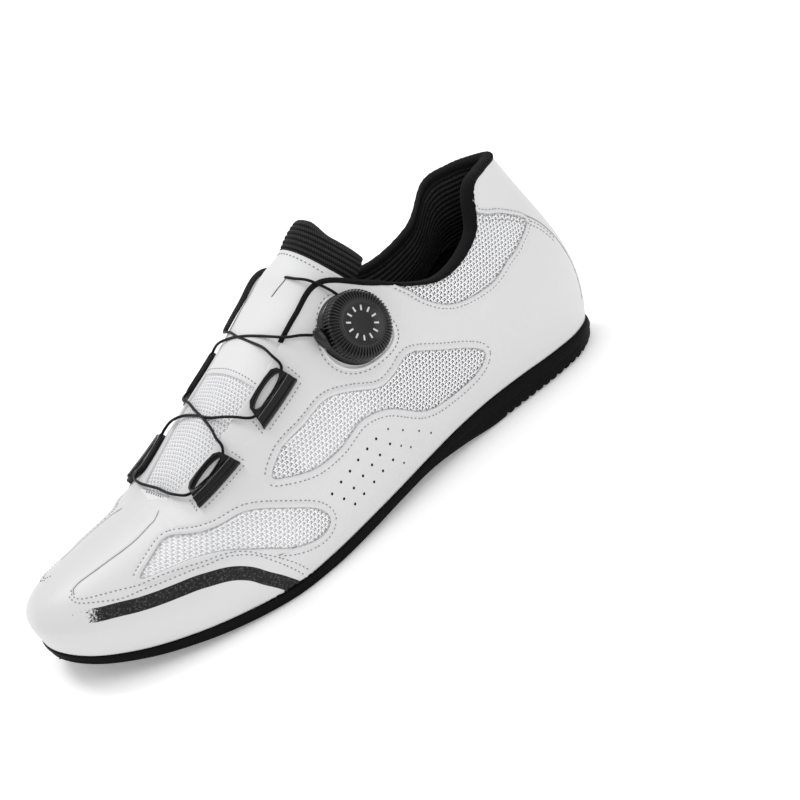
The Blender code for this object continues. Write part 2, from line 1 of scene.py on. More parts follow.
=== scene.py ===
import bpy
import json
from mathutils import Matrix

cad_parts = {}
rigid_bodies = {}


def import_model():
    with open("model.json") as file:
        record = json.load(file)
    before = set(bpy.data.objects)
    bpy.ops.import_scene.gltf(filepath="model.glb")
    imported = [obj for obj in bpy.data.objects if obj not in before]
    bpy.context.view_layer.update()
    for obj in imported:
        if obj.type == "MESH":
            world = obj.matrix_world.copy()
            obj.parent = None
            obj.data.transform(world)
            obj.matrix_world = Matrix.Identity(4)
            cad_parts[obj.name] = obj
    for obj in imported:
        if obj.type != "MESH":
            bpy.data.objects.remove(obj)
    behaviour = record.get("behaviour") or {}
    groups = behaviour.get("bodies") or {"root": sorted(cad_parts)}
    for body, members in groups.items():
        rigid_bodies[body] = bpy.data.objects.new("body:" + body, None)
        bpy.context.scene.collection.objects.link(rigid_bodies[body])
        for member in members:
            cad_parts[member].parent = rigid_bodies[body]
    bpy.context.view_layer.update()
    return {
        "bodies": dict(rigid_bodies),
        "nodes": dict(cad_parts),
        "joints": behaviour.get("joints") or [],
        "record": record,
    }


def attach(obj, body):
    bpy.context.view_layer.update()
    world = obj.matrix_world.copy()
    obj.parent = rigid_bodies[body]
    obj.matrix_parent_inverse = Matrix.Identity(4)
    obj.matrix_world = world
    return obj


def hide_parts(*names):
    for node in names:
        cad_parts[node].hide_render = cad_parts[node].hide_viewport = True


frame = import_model()

import json
import math

import bmesh
import bpy
import numpy as np
from mathutils import Matrix, Vector
from mathutils.bvhtree import BVHTree
from mathutils.kdtree import KDTree

mm = 0.001

# Last: the form that the whole shoe is built on. Driving sizes, then a row per section, heel first.
last = {
    "length": 0.286, "ballWidth": 0.100, "instepHeight": 0.093, "heelStack": 0.0125,
    "swing": 0.011, "halfway": 0.49475, "middleOut": 0.0037, "wall": 0.002, "throatHandle": 0.36,
    "throatBase": 13,  # section where the throat closes
    "sections": (
        # station, outer, inner, foot, topAt, topHalf, top, swell, rise, pitch, reach, under
        (0.018, 0.000, 0.000, 0.64, 0.048, 0.000, 0.990, 0.122, 0.340, 75, 0.36, 0.36),
        (0.033, 0.160, 0.165, 0.75, 0.061, 0.066, 0.992, 0.108, 0.340, 76, 0.36, 0.12),
        (0.082, 0.265, 0.270, 0.85, 0.094, 0.126, 0.996, 0.072, 0.310, 79, 0.33, 0.00),
        (0.145, 0.305, 0.315, 0.93, 0.136, 0.184, 0.970, 0.042, 0.280, 80, 0.28, 0.00),
        (0.210, 0.316, 0.325, 0.99, 0.180, 0.250, 0.802, 0.030, 0.237, 80, 0.22, 0.00),
        (0.280, 0.328, 0.310, 1.00, 0.269, 0.297, 0.745, 0.030, 0.215, 78, 0.18, 0.00),
        (0.350, 0.353, 0.285, 0.94, 0.362, 0.278, 0.885, 0.030, 0.237, 65, 0.20, 0.20),
        (0.420, 0.390, 0.275, 0.83, 0.430, 0.225, 1.005, 0.030, 0.301, 50, 0.24, 0.34),
        (0.490, 0.430, 0.290, 0.70, 0.486, 0.213, 0.932, 0.030, 0.344, 35, 0.24, 0.26),
        (0.560, 0.466, 0.335, 0.58, 0.557, 0.212, 0.806, 0.030, 0.323, 28, 0.24, 0.10),
        (0.630, 0.499, 0.395, 0.48, 0.629, 0.203, 0.700, 0.035, 0.301, 24, 0.24, 0.00),
        (0.700, 0.516, 0.445, 0.43, 0.690, 0.180, 0.608, 0.040, 0.280, 20, 0.24, 0.00),
        (0.770, 0.485, 0.466, 0.52, 0.748, 0.130, 0.528, 0.044, 0.265, 8, 0.26, 0.06),
        (0.838, 0.427, 0.458, 0.66, 0.770, 0.000, 0.512, 0.046, 0.245, 0, 0.27, 0.22),
        (0.905, 0.330, 0.410, 0.87, 0.830, 0.000, 0.478, 0.048, 0.230, 0, 0.26, 0.46),
        (0.960, 0.188, 0.285, 1.16, 0.880, 0.000, 0.452, 0.050, 0.222, 0, 0.24, 0.76),
        (0.984, 0.000, 0.000, 1.40, 0.902, 0.000, 0.440, 0.054, 0.212, 0, 0.22, 0.98),
    ),
}
toe = len(last["sections"]) - 1
ringEnd = 2 * toe  # places run 0 at the heel, toe at the toe, and back along the inner side


def smoothLoop(knots, at):
    low = np.floor(at).astype(int)
    t = (at - low)[..., None]
    a, b, c, d = (knots[(low + k) % len(knots)] for k in (-1, 0, 1, 2))
    bend = (2 * a - 5 * b + 4 * c - d) * t ** 2 + (3 * b - a - 3 * c + d) * t ** 3
    return 0.5 * (2 * b + (c - a) * t + bend)


def cubic(a, b, c, d, t):
    return (1 - t) ** 3 * a + 3 * (1 - t) ** 2 * t * b + 3 * (1 - t) * t ** 2 * c + t ** 3 * d


def ringKnots():
    table = np.array(last["sections"])
    rows = table[list(range(toe + 1)) + list(range(toe - 1, 0, -1))]
    sign = np.array([1.0] * (toe + 1) + [-1.0] * (toe - 1))
    half = np.where(sign > 0, rows[:, 1], rows[:, 2]) * sign
    return np.column_stack((rows[:, 0], half, rows[:, 3:5], rows[:, 5] * sign, rows[:, 6:]))


lastKnots = ringKnots()


def ringValues(ring):
    at = np.asarray(ring, float) % ringEnd
    found = smoothLoop(lastKnots, at)
    top = np.where(at <= toe, np.maximum(found[..., 4], 0), np.minimum(found[..., 4], 0))
    found[..., 4] = np.where(np.abs(at - toe) < toe - last["throatBase"], 0, top)
    return found


def unit(vectors):
    return vectors / np.maximum(np.linalg.norm(vectors, axis=-1, keepdims=True), 1e-12)


def reachAlong(points):
    # how far each point of a line, or of each column of a grid, is from its first
    steps = np.linalg.norm(np.diff(points, axis=0), axis=-1)
    return np.concatenate((np.zeros((1,) + steps.shape[1:]), np.cumsum(steps, axis=0)))


def middle(station):
    return last["middleOut"] - last["swing"] * np.clip(station, 0, 1) ** 2


def along(station):
    return last["length"] * (last["halfway"] - station)


def edgePoint(station, half, height):
    return np.stack((middle(station) + half * last["ballWidth"], along(station), height), -1)


def footLine(ring):
    v = ringValues(ring)
    return edgePoint(v[..., 0], v[..., 1], v[..., 2] * last["heelStack"])


def topLine(ring):
    v = ringValues(ring)
    return edgePoint(v[..., 3], v[..., 4], v[..., 5] * last["instepHeight"])


def footOutward(ring):
    run = footLine(ring + 0.02) - footLine(ring - 0.02)
    return unit(np.stack((-run[..., 1], run[..., 0], 0 * run[..., 0]), -1))


def roof(ring):
    pitch = ringValues(ring)[..., 8]
    lean = unit((footLine(ring) - topLine(ring)) * (1, 1, 0) + footOutward(ring) * 2.5 * mm)
    run = topLine(ring + 0.02) - topLine(ring - 0.02)
    fall = np.clip(run[..., 2] / np.where(np.abs(run[..., 1]) > 1e-6, run[..., 1], 1e-6), -0.6, 0.6)
    down = lean * np.cos(np.radians(pitch))[..., None]
    down[..., 2] += np.clip(1 - pitch / 30, 0, 1) * lean[..., 1] * fall - np.sin(np.radians(pitch))
    return down


def side(ring, up):  # outer face of the upper, from the sole (up 0) to the top line (up 1)
    v = ringValues(ring)
    foot, top = footLine(ring), topLine(ring)
    low = foot + footOutward(ring) * (v[..., 6] * last["ballWidth"])[..., None]
    low[..., 2] += v[..., 7] * last["instepHeight"]
    high = top + roof(ring) * (v[..., 9] * last["ballWidth"])[..., None]
    return cubic(foot, low, high, top, np.asarray(up, float)[..., None])


def sideNormal(ring, up):
    forward = side(ring + 0.02, up) - side(ring - 0.02, up)
    rise = side(ring, np.minimum(up + 0.01, 1)) - side(ring, np.maximum(up - 0.01, 0))
    return unit(np.cross(rise, forward))


def throat(ring, across):  # arch over the throat, from its outer edge (0) to its inner edge (1)
    left, right = topLine(ring), topLine(ringEnd - ring)
    handle = np.linalg.norm(right - left, axis=-1, keepdims=True) * last["throatHandle"]
    highLeft, highRight = left - roof(ring) * handle, right - roof(ringEnd - ring) * handle
    return cubic(left, highLeft, highRight, right, np.asarray(across, float)[..., None])


def overThroat(ring, across):  # across 0 to 1 over the throat, beyond it down the sides
    if across < 0:
        return side(ring, 1 + across)
    if across > 1:
        return side(ringEnd - ring, 2 - across)
    return throat(ring, across)


# how far round the toe the smoothing reaches and fades, and the share up the side where it starts
toeSmooth = {"reach": 4.3, "fade": 1.6, "from": 0.22, "rise": 0.25}


def toeSmoothing(columns=641, rows=97, rounds=160):
    # small moves that take the ridge out of the toe, where the two sides of the last meet
    ups, rings = np.meshgrid(np.linspace(0, 1, rows), np.linspace(0, ringEnd, columns), indexing="ij")
    start, normals = side(rings, ups), sideNormal(rings, ups)
    normals[-1] = unit(normals[-1] + normals[-1, ::-1])
    weight = np.clip((toeSmooth["reach"] - np.abs(rings - toe)) / toeSmooth["fade"], 0, 1)
    weight *= np.clip((ups - toeSmooth["from"]) / toeSmooth["rise"], 0, 1)
    closed = np.abs(rings[-1] - toe) < toe - last["throatBase"]
    points = start.copy()
    for _ in range(rounds):
        around = np.zeros_like(points)
        around[1:-1, 1:-1] = (points[2:, 1:-1] + points[:-2, 1:-1] + points[1:-1, 2:] + points[1:-1, :-2]) / 4
        around[-1, 1:-1] = (points[-2, 1:-1] + points[-2, ::-1][1:-1] + points[-1, 2:] + points[-1, :-2]) / 4
        pull = np.einsum("ijk,ijk->ij", around - points, normals)
        pull[0], pull[:, 0], pull[:, -1] = 0, 0, 0
        pull[-1] = np.where(closed, pull[-1], 0)
        points += normals * (pull * weight)[..., None]
    return points - start


toeMoves = toeSmoothing()


def skin(ring, up):  # the outer face with the toe smoothed
    ring, up = np.broadcast_arrays(np.asarray(ring, float), np.asarray(up, float))
    rows, columns = toeMoves.shape[:2]
    x, y = (ring % ringEnd) / ringEnd * (columns - 1), np.clip(up, 0, 1) * (rows - 1)
    i, j = np.minimum(x.astype(int), columns - 2), np.minimum(y.astype(int), rows - 2)
    x, y = (x - i)[..., None], (y - j)[..., None]
    low = toeMoves[j, i] * (1 - x) + toeMoves[j, i + 1] * x
    high = toeMoves[j + 1, i] * (1 - x) + toeMoves[j + 1, i + 1] * x
    return side(ring, up) + low * (1 - y) + high * y


def onSkin(ring, up, x, y, z=0.0):
    # places x along the ring, y up the side and z out of the skin, in metres from (ring, up)
    alongSize = np.linalg.norm(side(ring + 0.05, up) - side(ring - 0.05, up)) / 0.1
    upSize = np.linalg.norm(side(ring, up + 0.01) - side(ring, up - 0.01)) / 0.02
    ringAt, upAt = ring + np.asarray(x) / alongSize, up + np.asarray(y) / upSize
    capped = np.minimum(upAt, 1)
    past = (upAt - capped)[..., None] * (side(ringAt, capped) - side(ringAt, capped - 0.01)) / 0.01
    return skin(ringAt, capped) + past + sideNormal(ringAt, capped) * np.asarray(z)[..., None]


# Meshes
def finished(shape, name):
    mesh = bpy.data.meshes.new(name)
    shape.to_mesh(mesh)
    shape.free()
    return mesh


def addObject(name, data):
    made = bpy.data.objects.new(name, data)
    bpy.context.scene.collection.objects.link(made)
    return made


def gridMesh(name, points, uv=None, values=None, look=0):
    # a grid of rows by columns whose vertices take the places given
    rows, columns = points.shape[:2]
    shape = bmesh.new()
    bmesh.ops.create_grid(shape, x_segments=columns - 1, y_segments=rows - 1, size=0.5)
    mesh = finished(shape, name)
    mesh.vertices.foreach_set("co", np.asarray(points, np.float32).ravel())
    for label, value in (values or {}).items():
        layer = mesh.attributes.new(label, "FLOAT", "POINT")
        layer.data.foreach_set("value", np.asarray(value, np.float32).ravel())
    corner = np.empty(len(mesh.loops), int)
    mesh.loops.foreach_get("vertex_index", corner)
    layer = mesh.uv_layers[0] if mesh.uv_layers else mesh.uv_layers.new(name="UVMap")
    if uv is not None:
        layer.data.foreach_set("uv", np.asarray(uv, np.float32).reshape(-1, 2)[corner].ravel())
    mesh.polygons.foreach_set("material_index", np.full(len(mesh.polygons), look, np.int32))
    return mesh


def piece(name, meshes, looks, replaces=(), weld=1e-5, outward=True, close=False):
    # one object from one or more meshes, its seams welded and its open ends closed
    shape = bmesh.new()
    for mesh in meshes if isinstance(meshes, (list, tuple)) else [meshes]:
        shape.from_mesh(mesh)
    if weld:
        bmesh.ops.remove_doubles(shape, verts=shape.verts, dist=weld)
    if close:
        bmesh.ops.holes_fill(shape, edges=[edge for edge in shape.edges if edge.is_boundary], sides=0)
    if outward:
        bmesh.ops.recalc_face_normals(shape, faces=shape.faces)
    for face in shape.faces:
        face.smooth = True
    made = addObject(name, finished(shape, name))
    for look in looks if isinstance(looks, (list, tuple)) else [looks]:
        made.data.materials.append(look)
    if replaces:
        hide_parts(*replaces)
    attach(made, "root")
    return made


def tubeMesh(name, points, radius, detail=3, cyclic=False):
    curve = bpy.data.curves.new(name, "CURVE")
    curve.dimensions = "3D"
    curve.bevel_depth = radius
    curve.bevel_resolution = detail
    curve.use_fill_caps = not cyclic
    spline = curve.splines.new("POLY")
    spline.points.add(len(points) - 1)
    spline.points.foreach_set("co", np.column_stack((points, np.ones(len(points)))).ravel())
    spline.use_cyclic_u = cyclic
    drawn = addObject(name, curve)
    mesh = bpy.data.meshes.new_from_object(drawn.evaluated_get(bpy.context.evaluated_depsgraph_get()))
    bpy.data.objects.remove(drawn)
    mesh.materials.clear()
    return mesh


def smoothRun(knots, count, closed=False):
    # evenly spaced points on a smooth line through the knots
    knots = np.asarray(knots, float)
    if not closed:
        knots = np.vstack((2 * knots[0] - knots[1], knots, 2 * knots[-1] - knots[-2]))
        at = np.linspace(1, len(knots) - 2 - 1e-9, count * 8)
    else:
        at = np.linspace(0, len(knots), count * 8, endpoint=False)
    fine = smoothLoop(knots, at)
    if closed:
        fine = np.vstack((fine, fine[:1]))
    reach = reachAlong(fine)
    wanted = np.linspace(0, reach[-1], count, endpoint=not closed)
    return np.column_stack([np.interp(wanted, reach, fine[:, k]) for k in range(knots.shape[1])])


def skinRun(knots, spacing=0.5 * mm, closed=False, mirrored=False):
    # places along a smooth line of (ring, up) knots, spaced evenly on the skin
    scaled = np.array(knots) * (0.019, 0.075)
    line = smoothRun(scaled, 200, closed) / (0.019, 0.075)
    if closed:
        line = np.vstack((line, line[:1]))
    if mirrored:
        line[:, 0] = ringEnd - line[:, 0]
    reach = reachAlong(side(line[:, 0], line[:, 1]))
    wanted = np.arange(0, reach[-1], spacing)
    return np.column_stack([np.interp(wanted, reach, line[:, k]) for k in (0, 1)])


def shifted(line, distance):
    # the line moved sideways on the skin, to the left of its run seen from outside
    ring, up = line[:, 0], line[:, 1]
    onRing = (side(ring + 0.02, up) - side(ring - 0.02, up)) / 0.04
    onUp = (side(ring, up + 0.01) - side(ring, up - 0.01)) / 0.02
    run = unit(np.gradient(side(ring, up), axis=0))
    aside = np.cross(sideNormal(ring, up), run) * distance
    a, b, c = (onRing ** 2).sum(-1), (onRing * onUp).sum(-1), (onUp ** 2).sum(-1)
    p, q = (onRing * aside).sum(-1), (onUp * aside).sum(-1)
    size = a * c - b * b
    return np.column_stack((ring + (c * p - b * q) / size, up + (a * q - b * p) / size))


print("last and mesh tools ready")

# Node building
def put(tree, kind, inputs=None, **settings):
    made = tree.nodes.new(kind)
    for key, value in settings.items():
        setattr(made, key, value)
    for key, value in (inputs or {}).items():
        if isinstance(value, bpy.types.NodeSocket):
            tree.links.new(value, made.inputs[key])
        else:
            made.inputs[key].default_value = value
    return made


def maths(tree, operation, *values, clamp=False):
    made = put(tree, "ShaderNodeMath", dict(enumerate(values)), operation=operation, use_clamp=clamp)
    return made.outputs[0]


def times(tree, first, second):
    return maths(tree, "MULTIPLY", first, second)


def plus(tree, first, second, clamp=False):
    return maths(tree, "ADD", first, second, clamp=clamp)


def minus(tree, first, second):
    return maths(tree, "SUBTRACT", first, second)


def over(tree, first, second):
    return maths(tree, "DIVIDE", first, second)


def between(tree, value, low, high, interpolation="SMOOTHSTEP"):
    sockets = {"Value": value, "From Min": low, "From Max": high}
    return put(tree, "ShaderNodeMapRange", sockets, interpolation_type=interpolation).outputs[0]


def mixColours(tree, share, first, second):
    made = tree.nodes.new("ShaderNodeMix")
    made.data_type = "RGBA"
    for index, value in ((0, share), (6, first), (7, second)):
        if isinstance(value, bpy.types.NodeSocket):
            tree.links.new(value, made.inputs[index])
        else:
            made.inputs[index].default_value = value
    return made.outputs[2]


def grey(value, tint=0.0):
    return (value, value, value * (1 + tint), 1)


def attribute(tree, name):
    return put(tree, "ShaderNodeAttribute", attribute_name=name).outputs["Fac"]


def newGroup(name, inputs, outputs):
    group = bpy.data.node_groups.new(name, "ShaderNodeTree")
    for label, value in inputs.items():
        kind = "NodeSocketVector" if value is None else "NodeSocketFloat"
        socket = group.interface.new_socket(label, in_out="INPUT", socket_type=kind)
        if value is not None:
            socket.default_value = value
    for label in outputs:
        group.interface.new_socket(label, in_out="OUTPUT", socket_type="NodeSocketFloat")
    return group, group.nodes.new("NodeGroupInput").outputs, group.nodes.new("NodeGroupOutput").inputs


def makeGrainGroup():
    # fine pebble of coated leather or moulded plastic, and a slow mottle
    group, given, out = newGroup("fineGrain", {"Scale": 900.0}, ("Height", "Mottle"))
    place = group.nodes.new("ShaderNodeTexCoord").outputs["Object"]
    pebble = put(group, "ShaderNodeTexVoronoi", {"Vector": place, "Scale": given["Scale"]})
    small = put(group, "ShaderNodeTexNoise", {"Vector": place, "Scale": given["Scale"], "Detail": 3.0})
    height = plus(group, pebble.outputs["Distance"], small.outputs["Fac"])
    group.links.new(height, out["Height"])
    slow = put(group, "ShaderNodeTexNoise", {"Vector": place, "Scale": 28.0, "Detail": 4.0})
    group.links.new(slow.outputs["Fac"], out["Mottle"])
    return group


def makeKnitGroup():
    # open mesh: rows of hooks, each two slanted slits between raised yarns, pitches in mm
    inputs = {"UV": None, "Pitch Along": 2.05, "Pitch Up": 1.65, "Long": 0.62, "Wide": 0.27}
    group, given, out = newGroup("openMesh", inputs, ("Hole", "Height"))
    split = put(group, "ShaderNodeSeparateXYZ", {"Vector": given["UV"]})
    u, v = (times(group, split.outputs[k], 100.0) for k in (0, 1))
    place = group.nodes.new("ShaderNodeTexCoord").outputs["Object"]
    wander = put(group, "ShaderNodeTexNoise", {"Vector": place, "Scale": 330.0, "Detail": 1.0})
    u = plus(group, u, times(group, wander.outputs["Fac"], 1.1))
    rowPlace = over(group, v, given["Pitch Up"])
    row = maths(group, "FLOOR", rowPlace)
    stagger = times(group, maths(group, "MODULO", plus(group, row, 1000.0), 2.0), 0.5)
    columnPlace = plus(group, over(group, u, given["Pitch Along"]), stagger)
    x = times(group, minus(group, maths(group, "FRACT", columnPlace), 0.5), given["Pitch Along"])
    y = times(group, minus(group, maths(group, "FRACT", rowPlace), 0.5), given["Pitch Up"])

    def slit(atX, atY, slant, share):
        nearX, nearY = minus(group, x, atX), minus(group, y, atY)
        cosine, sine = math.cos(slant), math.sin(slant)
        way = plus(group, times(group, nearX, cosine), times(group, nearY, sine))
        off = minus(group, times(group, nearY, cosine), times(group, nearX, sine))
        a = over(group, way, times(group, given["Long"], share))
        b = over(group, off, times(group, given["Wide"], share))
        squares = plus(group, times(group, a, a), times(group, b, b))
        return between(group, maths(group, "SQRT", squares), 1.30, 0.60)

    hole = maths(group, "MAXIMUM", slit(-0.42, 0.05, 1.15, 1.0), slit(0.22, -0.38, -0.25, 0.85))
    hole = maths(group, "MAXIMUM", hole, times(group, slit(0.45, 0.38, 0.9, 0.62), 0.7))
    group.links.new(hole, out["Hole"])
    yarn = maths(group, "SINE", times(group, plus(group, u, v), 9.0))
    yarn = times(group, yarn, 0.08)
    bulge = minus(group, 1.0, hole)
    group.links.new(plus(group, bulge, yarn), out["Height"])
    return group


def makeYarnGroup():
    # small loops of a black knit, from a UV in tenths of a metre, and its loose fibre
    group, given, out = newGroup("knitYarn", {"UV": None, "Pitch": 0.95}, ("Height", "Fibre"))
    split = put(group, "ShaderNodeSeparateXYZ", {"Vector": given["UV"]})
    u, v = (times(group, split.outputs[k], 100.0) for k in (0, 1))
    turnU, turnV = (over(group, times(group, way, math.tau), given["Pitch"]) for way in (u, v))
    lean = plus(group, turnU, times(group, maths(group, "SINE", turnV), 0.9))
    loops = times(group, maths(group, "SINE", lean), maths(group, "COSINE", times(group, turnV, 0.5)))
    group.links.new(loops, out["Height"])
    place = group.nodes.new("ShaderNodeTexCoord").outputs["Object"]
    fibre = put(group, "ShaderNodeTexNoise", {"Vector": place, "Scale": 2600.0, "Detail": 2.0})
    group.links.new(fibre.outputs["Fac"], out["Fibre"])
    return group


fineGrain = makeGrainGroup()
openMesh = makeKnitGroup()
knitYarn = makeYarnGroup()


def useGroup(tree, group, **inputs):
    named = {key.replace("_", " "): value for key, value in inputs.items()}
    return put(tree, "ShaderNodeGroup", named, node_tree=group).outputs


def startMaterial(name, roughness, **sockets):
    made = bpy.data.materials.new(name)
    made.use_nodes = True
    tree = made.node_tree
    shader = tree.nodes["Principled BSDF"]
    shader.inputs["Roughness"].default_value = roughness
    for key, value in sockets.items():
        shader.inputs[key.replace("_", " ")].default_value = value
    return made, tree, shader.inputs


def uvOf(tree):
    return put(tree, "ShaderNodeUVMap", uv_map="UVMap").outputs[0]


def bump(tree, height, distance, under=None, strength=1.0):
    inputs = {"Height": height, "Distance": distance, "Strength": strength}
    if under is not None:
        inputs["Normal"] = under
    return put(tree, "ShaderNodeBump", inputs).outputs[0]


def whiteCover(tree, look, inKnit, grain, holes, mottleAndPaintedLight):
    # colour of smooth leather, and of open mesh where inKnit is 1; the leather's value is scaled by two
    # factors for its mottle, which on the tongue also hold painted light
    dim, bright = (grey(look["leather"] * shade, look["tint"]) for shade in mottleAndPaintedLight)
    leather = mixColours(tree, grain["Mottle"], dim, bright)
    mesh = mixColours(tree, holes, grey(look["knit"], look["knitTint"]), grey(look["hole"]))
    return mixColours(tree, inKnit, leather, mesh)


def whiteNormal(tree, look, inKnit, grain, knit):
    normal = bump(tree, times(tree, grain["Height"], minus(tree, 1.0, inKnit)), look["grainDepth"])
    return bump(tree, times(tree, knit["Height"], inKnit), look["knitDepth"], normal)


def makeSkinMaterial(look):
    # white leather with sunk mesh windows, seams and the toe stripe, read from the skin's attributes
    made, tree, shader = startMaterial("skinMaterial", look["roughness"], Specular_IOR_Level=0.30)
    edge, seam = attribute(tree, "windowEdge"), attribute(tree, "seamDistance")
    grain = useGroup(tree, fineGrain, Scale=look["grainScale"])
    knit = useGroup(tree, openMesh, UV=uvOf(tree))
    inWindow = between(tree, edge, 0.10, -0.10)
    holes = times(tree, knit["Hole"], attribute(tree, "holeShade"))
    colour = whiteCover(tree, look, inWindow, grain, holes, (0.97, 1.0))
    # darker band just inside each window's edge: partly the grey of the leather's cut edge, partly painted
    # shade of the sunk window
    lip = times(tree, between(tree, edge, -0.80, -0.25), inWindow)
    # painted shade along the seams' grooves
    paintedSeamShade = times(tree, between(tree, seam, 1.1, 0.2), look["creaseShade"])
    shade = maths(tree, "MAXIMUM", times(tree, lip, look["lipShade"]), paintedSeamShade)
    colour = mixColours(tree, shade, colour, grey(look["paintedShadeGrey"]))
    # toe stripe: gritty black, worn away towards the toe
    across, run = attribute(tree, "stripeAcross"), attribute(tree, "stripeRun")
    place = tree.nodes.new("ShaderNodeTexCoord").outputs["Object"]
    noise = {"Vector": place, "Scale": look["gritScale"], "Detail": 4.0, "Roughness": 0.75}
    grit = put(tree, "ShaderNodeTexNoise", noise).outputs["Fac"]
    inStripe = between(tree, across, look["stripeHalf"] + 0.08, look["stripeHalf"] - 0.08)
    kept = plus(tree, grit, times(tree, between(tree, run, 0.03, 0.15, "LINEAR"), 0.5))
    inStripe = times(tree, inStripe, between(tree, kept, 0.62, 0.72))
    speck = times(tree, between(tree, grit, 0.52, 0.62), 0.75)
    stripeColour = mixColours(tree, speck, grey(look["stripe"]), grey(look["stripeSpeck"]))
    colour = mixColours(tree, inStripe, colour, stripeColour)
    tree.links.new(colour, shader["Base Color"])
    rough = plus(tree, look["roughness"] - 0.05, times(tree, grain["Mottle"], 0.10))
    rough = plus(tree, rough, times(tree, inWindow, 0.30), clamp=True)
    rough = plus(tree, rough, times(tree, inStripe, 0.12), clamp=True)
    tree.links.new(rough, shader["Roughness"])
    normal = whiteNormal(tree, look, inWindow, grain, knit)
    normal = bump(tree, times(tree, grit, inStripe), look["gritDepth"], normal)
    tree.links.new(normal, shader["Normal"])
    return made


def makeTongueMaterial(look):
    # tongue: open mesh below, smooth leather above, split by an attribute in mm
    roughness = look["roughness"] + 0.12
    made, tree, shader = startMaterial("tongueMaterial", roughness, Specular_IOR_Level=0.2)
    edge = attribute(tree, "meshEdge")
    grain = useGroup(tree, fineGrain, Scale=look["grainScale"])
    knit = useGroup(tree, openMesh, UV=uvOf(tree))
    inMesh = between(tree, edge, 0.10, -0.10)
    holes = times(tree, knit["Hole"], look["tongueHole"])
    # the tongue's leather is painted 10 to 14 per cent brighter than the same leather on the upper: painted
    # light
    colour = whiteCover(tree, look, inMesh, grain, holes, (1.10, 1.14))
    # darker band just inside the mesh below the leather's raised edge: partly the grey of the cut edge,
    # partly painted shade under the step
    lip = times(tree, between(tree, edge, -0.9, -0.25), inMesh)
    colour = mixColours(tree, times(tree, lip, 0.40), colour, grey(look["paintedShadeGrey"]))
    tree.links.new(colour, shader["Base Color"])
    rough = plus(tree, roughness, times(tree, inMesh, 0.25), clamp=True)
    tree.links.new(rough, shader["Roughness"])
    tree.links.new(whiteNormal(tree, look, inMesh, grain, knit), shader["Normal"])
    return made


def makeKnitMaterial(name, ribs, grooves):
    # black knit: the ribs are in the mesh, and an attribute paints shade into the grooves between them
    fuzz = {"Sheen_Weight": 0.04, "Sheen_Roughness": 0.5, "Specular_IOR_Level": 0.05}
    made, tree, shader = startMaterial(name, 0.92, **fuzz)
    yarn = useGroup(tree, knitYarn, UV=uvOf(tree))
    fibre = between(tree, yarn["Fibre"], 0.35, 0.75)
    rib = mixColours(tree, fibre, grey(ribs * 0.7), grey(ribs * 1.6))
    # the low places of the yarn loops are painted darker: painted shade
    colour = mixColours(tree, between(tree, yarn["Height"], 0.1, -0.7), rib, grey(grooves * 1.6))
    # painted shade in the grooves between the ribs, and the collar's darker rolled edge
    colour = mixColours(tree, attribute(tree, "grooveShadeAndRoll"), colour, grey(grooves))
    tree.links.new(colour, shader["Base Color"])
    normal = bump(tree, yarn["Height"], 0.09 * mm)
    tree.links.new(bump(tree, yarn["Fibre"], 0.12 * mm, normal), shader["Normal"])
    return made


def makePlainMaterial(name, value, roughness, grainScale, grainDepth, spread, specular):
    # moulded or coated stuff of one colour, with grain and a slow change of gloss
    made, tree, shader = startMaterial(name, roughness, Specular_IOR_Level=specular)
    grain = useGroup(tree, fineGrain, Scale=grainScale)
    colour = mixColours(tree, grain["Mottle"], grey(value * (1 - spread)), grey(value * (1 + spread)))
    tree.links.new(colour, shader["Base Color"])
    rough = plus(tree, roughness - 0.08, times(tree, grain["Mottle"], 0.16))
    tree.links.new(rough, shader["Roughness"])
    tree.links.new(bump(tree, grain["Height"], grainDepth * mm), shader["Normal"])
    return made


skinLook = {
    "leather": 0.63, "tint": 0.012, "knit": 0.84, "knitTint": 0.02, "hole": 0.025, "tongueHole": 0.42,
    # the next row starts with the grey of the painted shade at window edges, mesh edges and seams
    "paintedShadeGrey": 0.26, "lipShade": 0.60, "creaseShade": 0.10, "roughness": 0.42,
    "grainScale": 1100.0, "grainDepth": 0.04 * mm, "knitDepth": 0.30 * mm,
    "stripe": 0.0015, "stripeSpeck": 0.085, "stripeHalf": 2.75,  # half width in mm
    "gritScale": 1150.0, "gritDepth": 0.25 * mm,
}
skinMaterial = makeSkinMaterial(skinLook)
tongueMaterial = makeTongueMaterial(skinLook)
plainLooks = {
    # value, roughness, grain scale, grain depth in mm, spread of the value, specular level
    "whiteTrim": (0.66, 0.5, 1100.0, 0.04, 0.02, 0.5),
    # the next row is a dark grey for the painted shadow lines laid in the seams' grooves
    "paintedShadeGrey": (0.20, 0.8, 900.0, 0.02, 0.25, 0.1),
    "slitShade": (0.10, 0.8, 900.0, 0.02, 0.25, 0.1),
    "holeShade": (0.010, 0.9, 900.0, 0.02, 0.25, 0.05),
    # the next row's dark grey is painted shade of the needle holes and the groove the thread lies in; the
    # thread itself is white
    "threadAndHoleShade": (0.21, 0.8, 4000.0, 0.05, 0.08, 0.5),
    "soleRubber": (0.0050, 0.62, 700.0, 0.10, 0.25, 0.05),
    "guidePlastic": (0.0045, 0.26, 900.0, 0.02, 0.25, 0.20),
    "dialPlastic": (0.0035, 0.22, 1200.0, 0.02, 0.25, 0.42),
    "dialMarks": (0.60, 0.5, 900.0, 0.02, 0.03, 0.5),
    "wireCoat": (0.004, 0.40, 5000.0, 0.03, 0.25, 0.10),
}
knitLooks = {
    # value of the ribs, value of the painted shade in the grooves between them
    "collarKnit": (0.050, 0.0035), "pipingKnit": (0.012, 0.003), "cuffKnit": (0.040, 0.005),
    "liningCloth": (0.010, 0.004), "bedCloth": (0.026, 0.012),
}
plain = {name: makePlainMaterial(name, *look) for name, look in plainLooks.items()}
knitted = {name: makeKnitMaterial(name, *look) for name, look in knitLooks.items()}
print("materials ready")

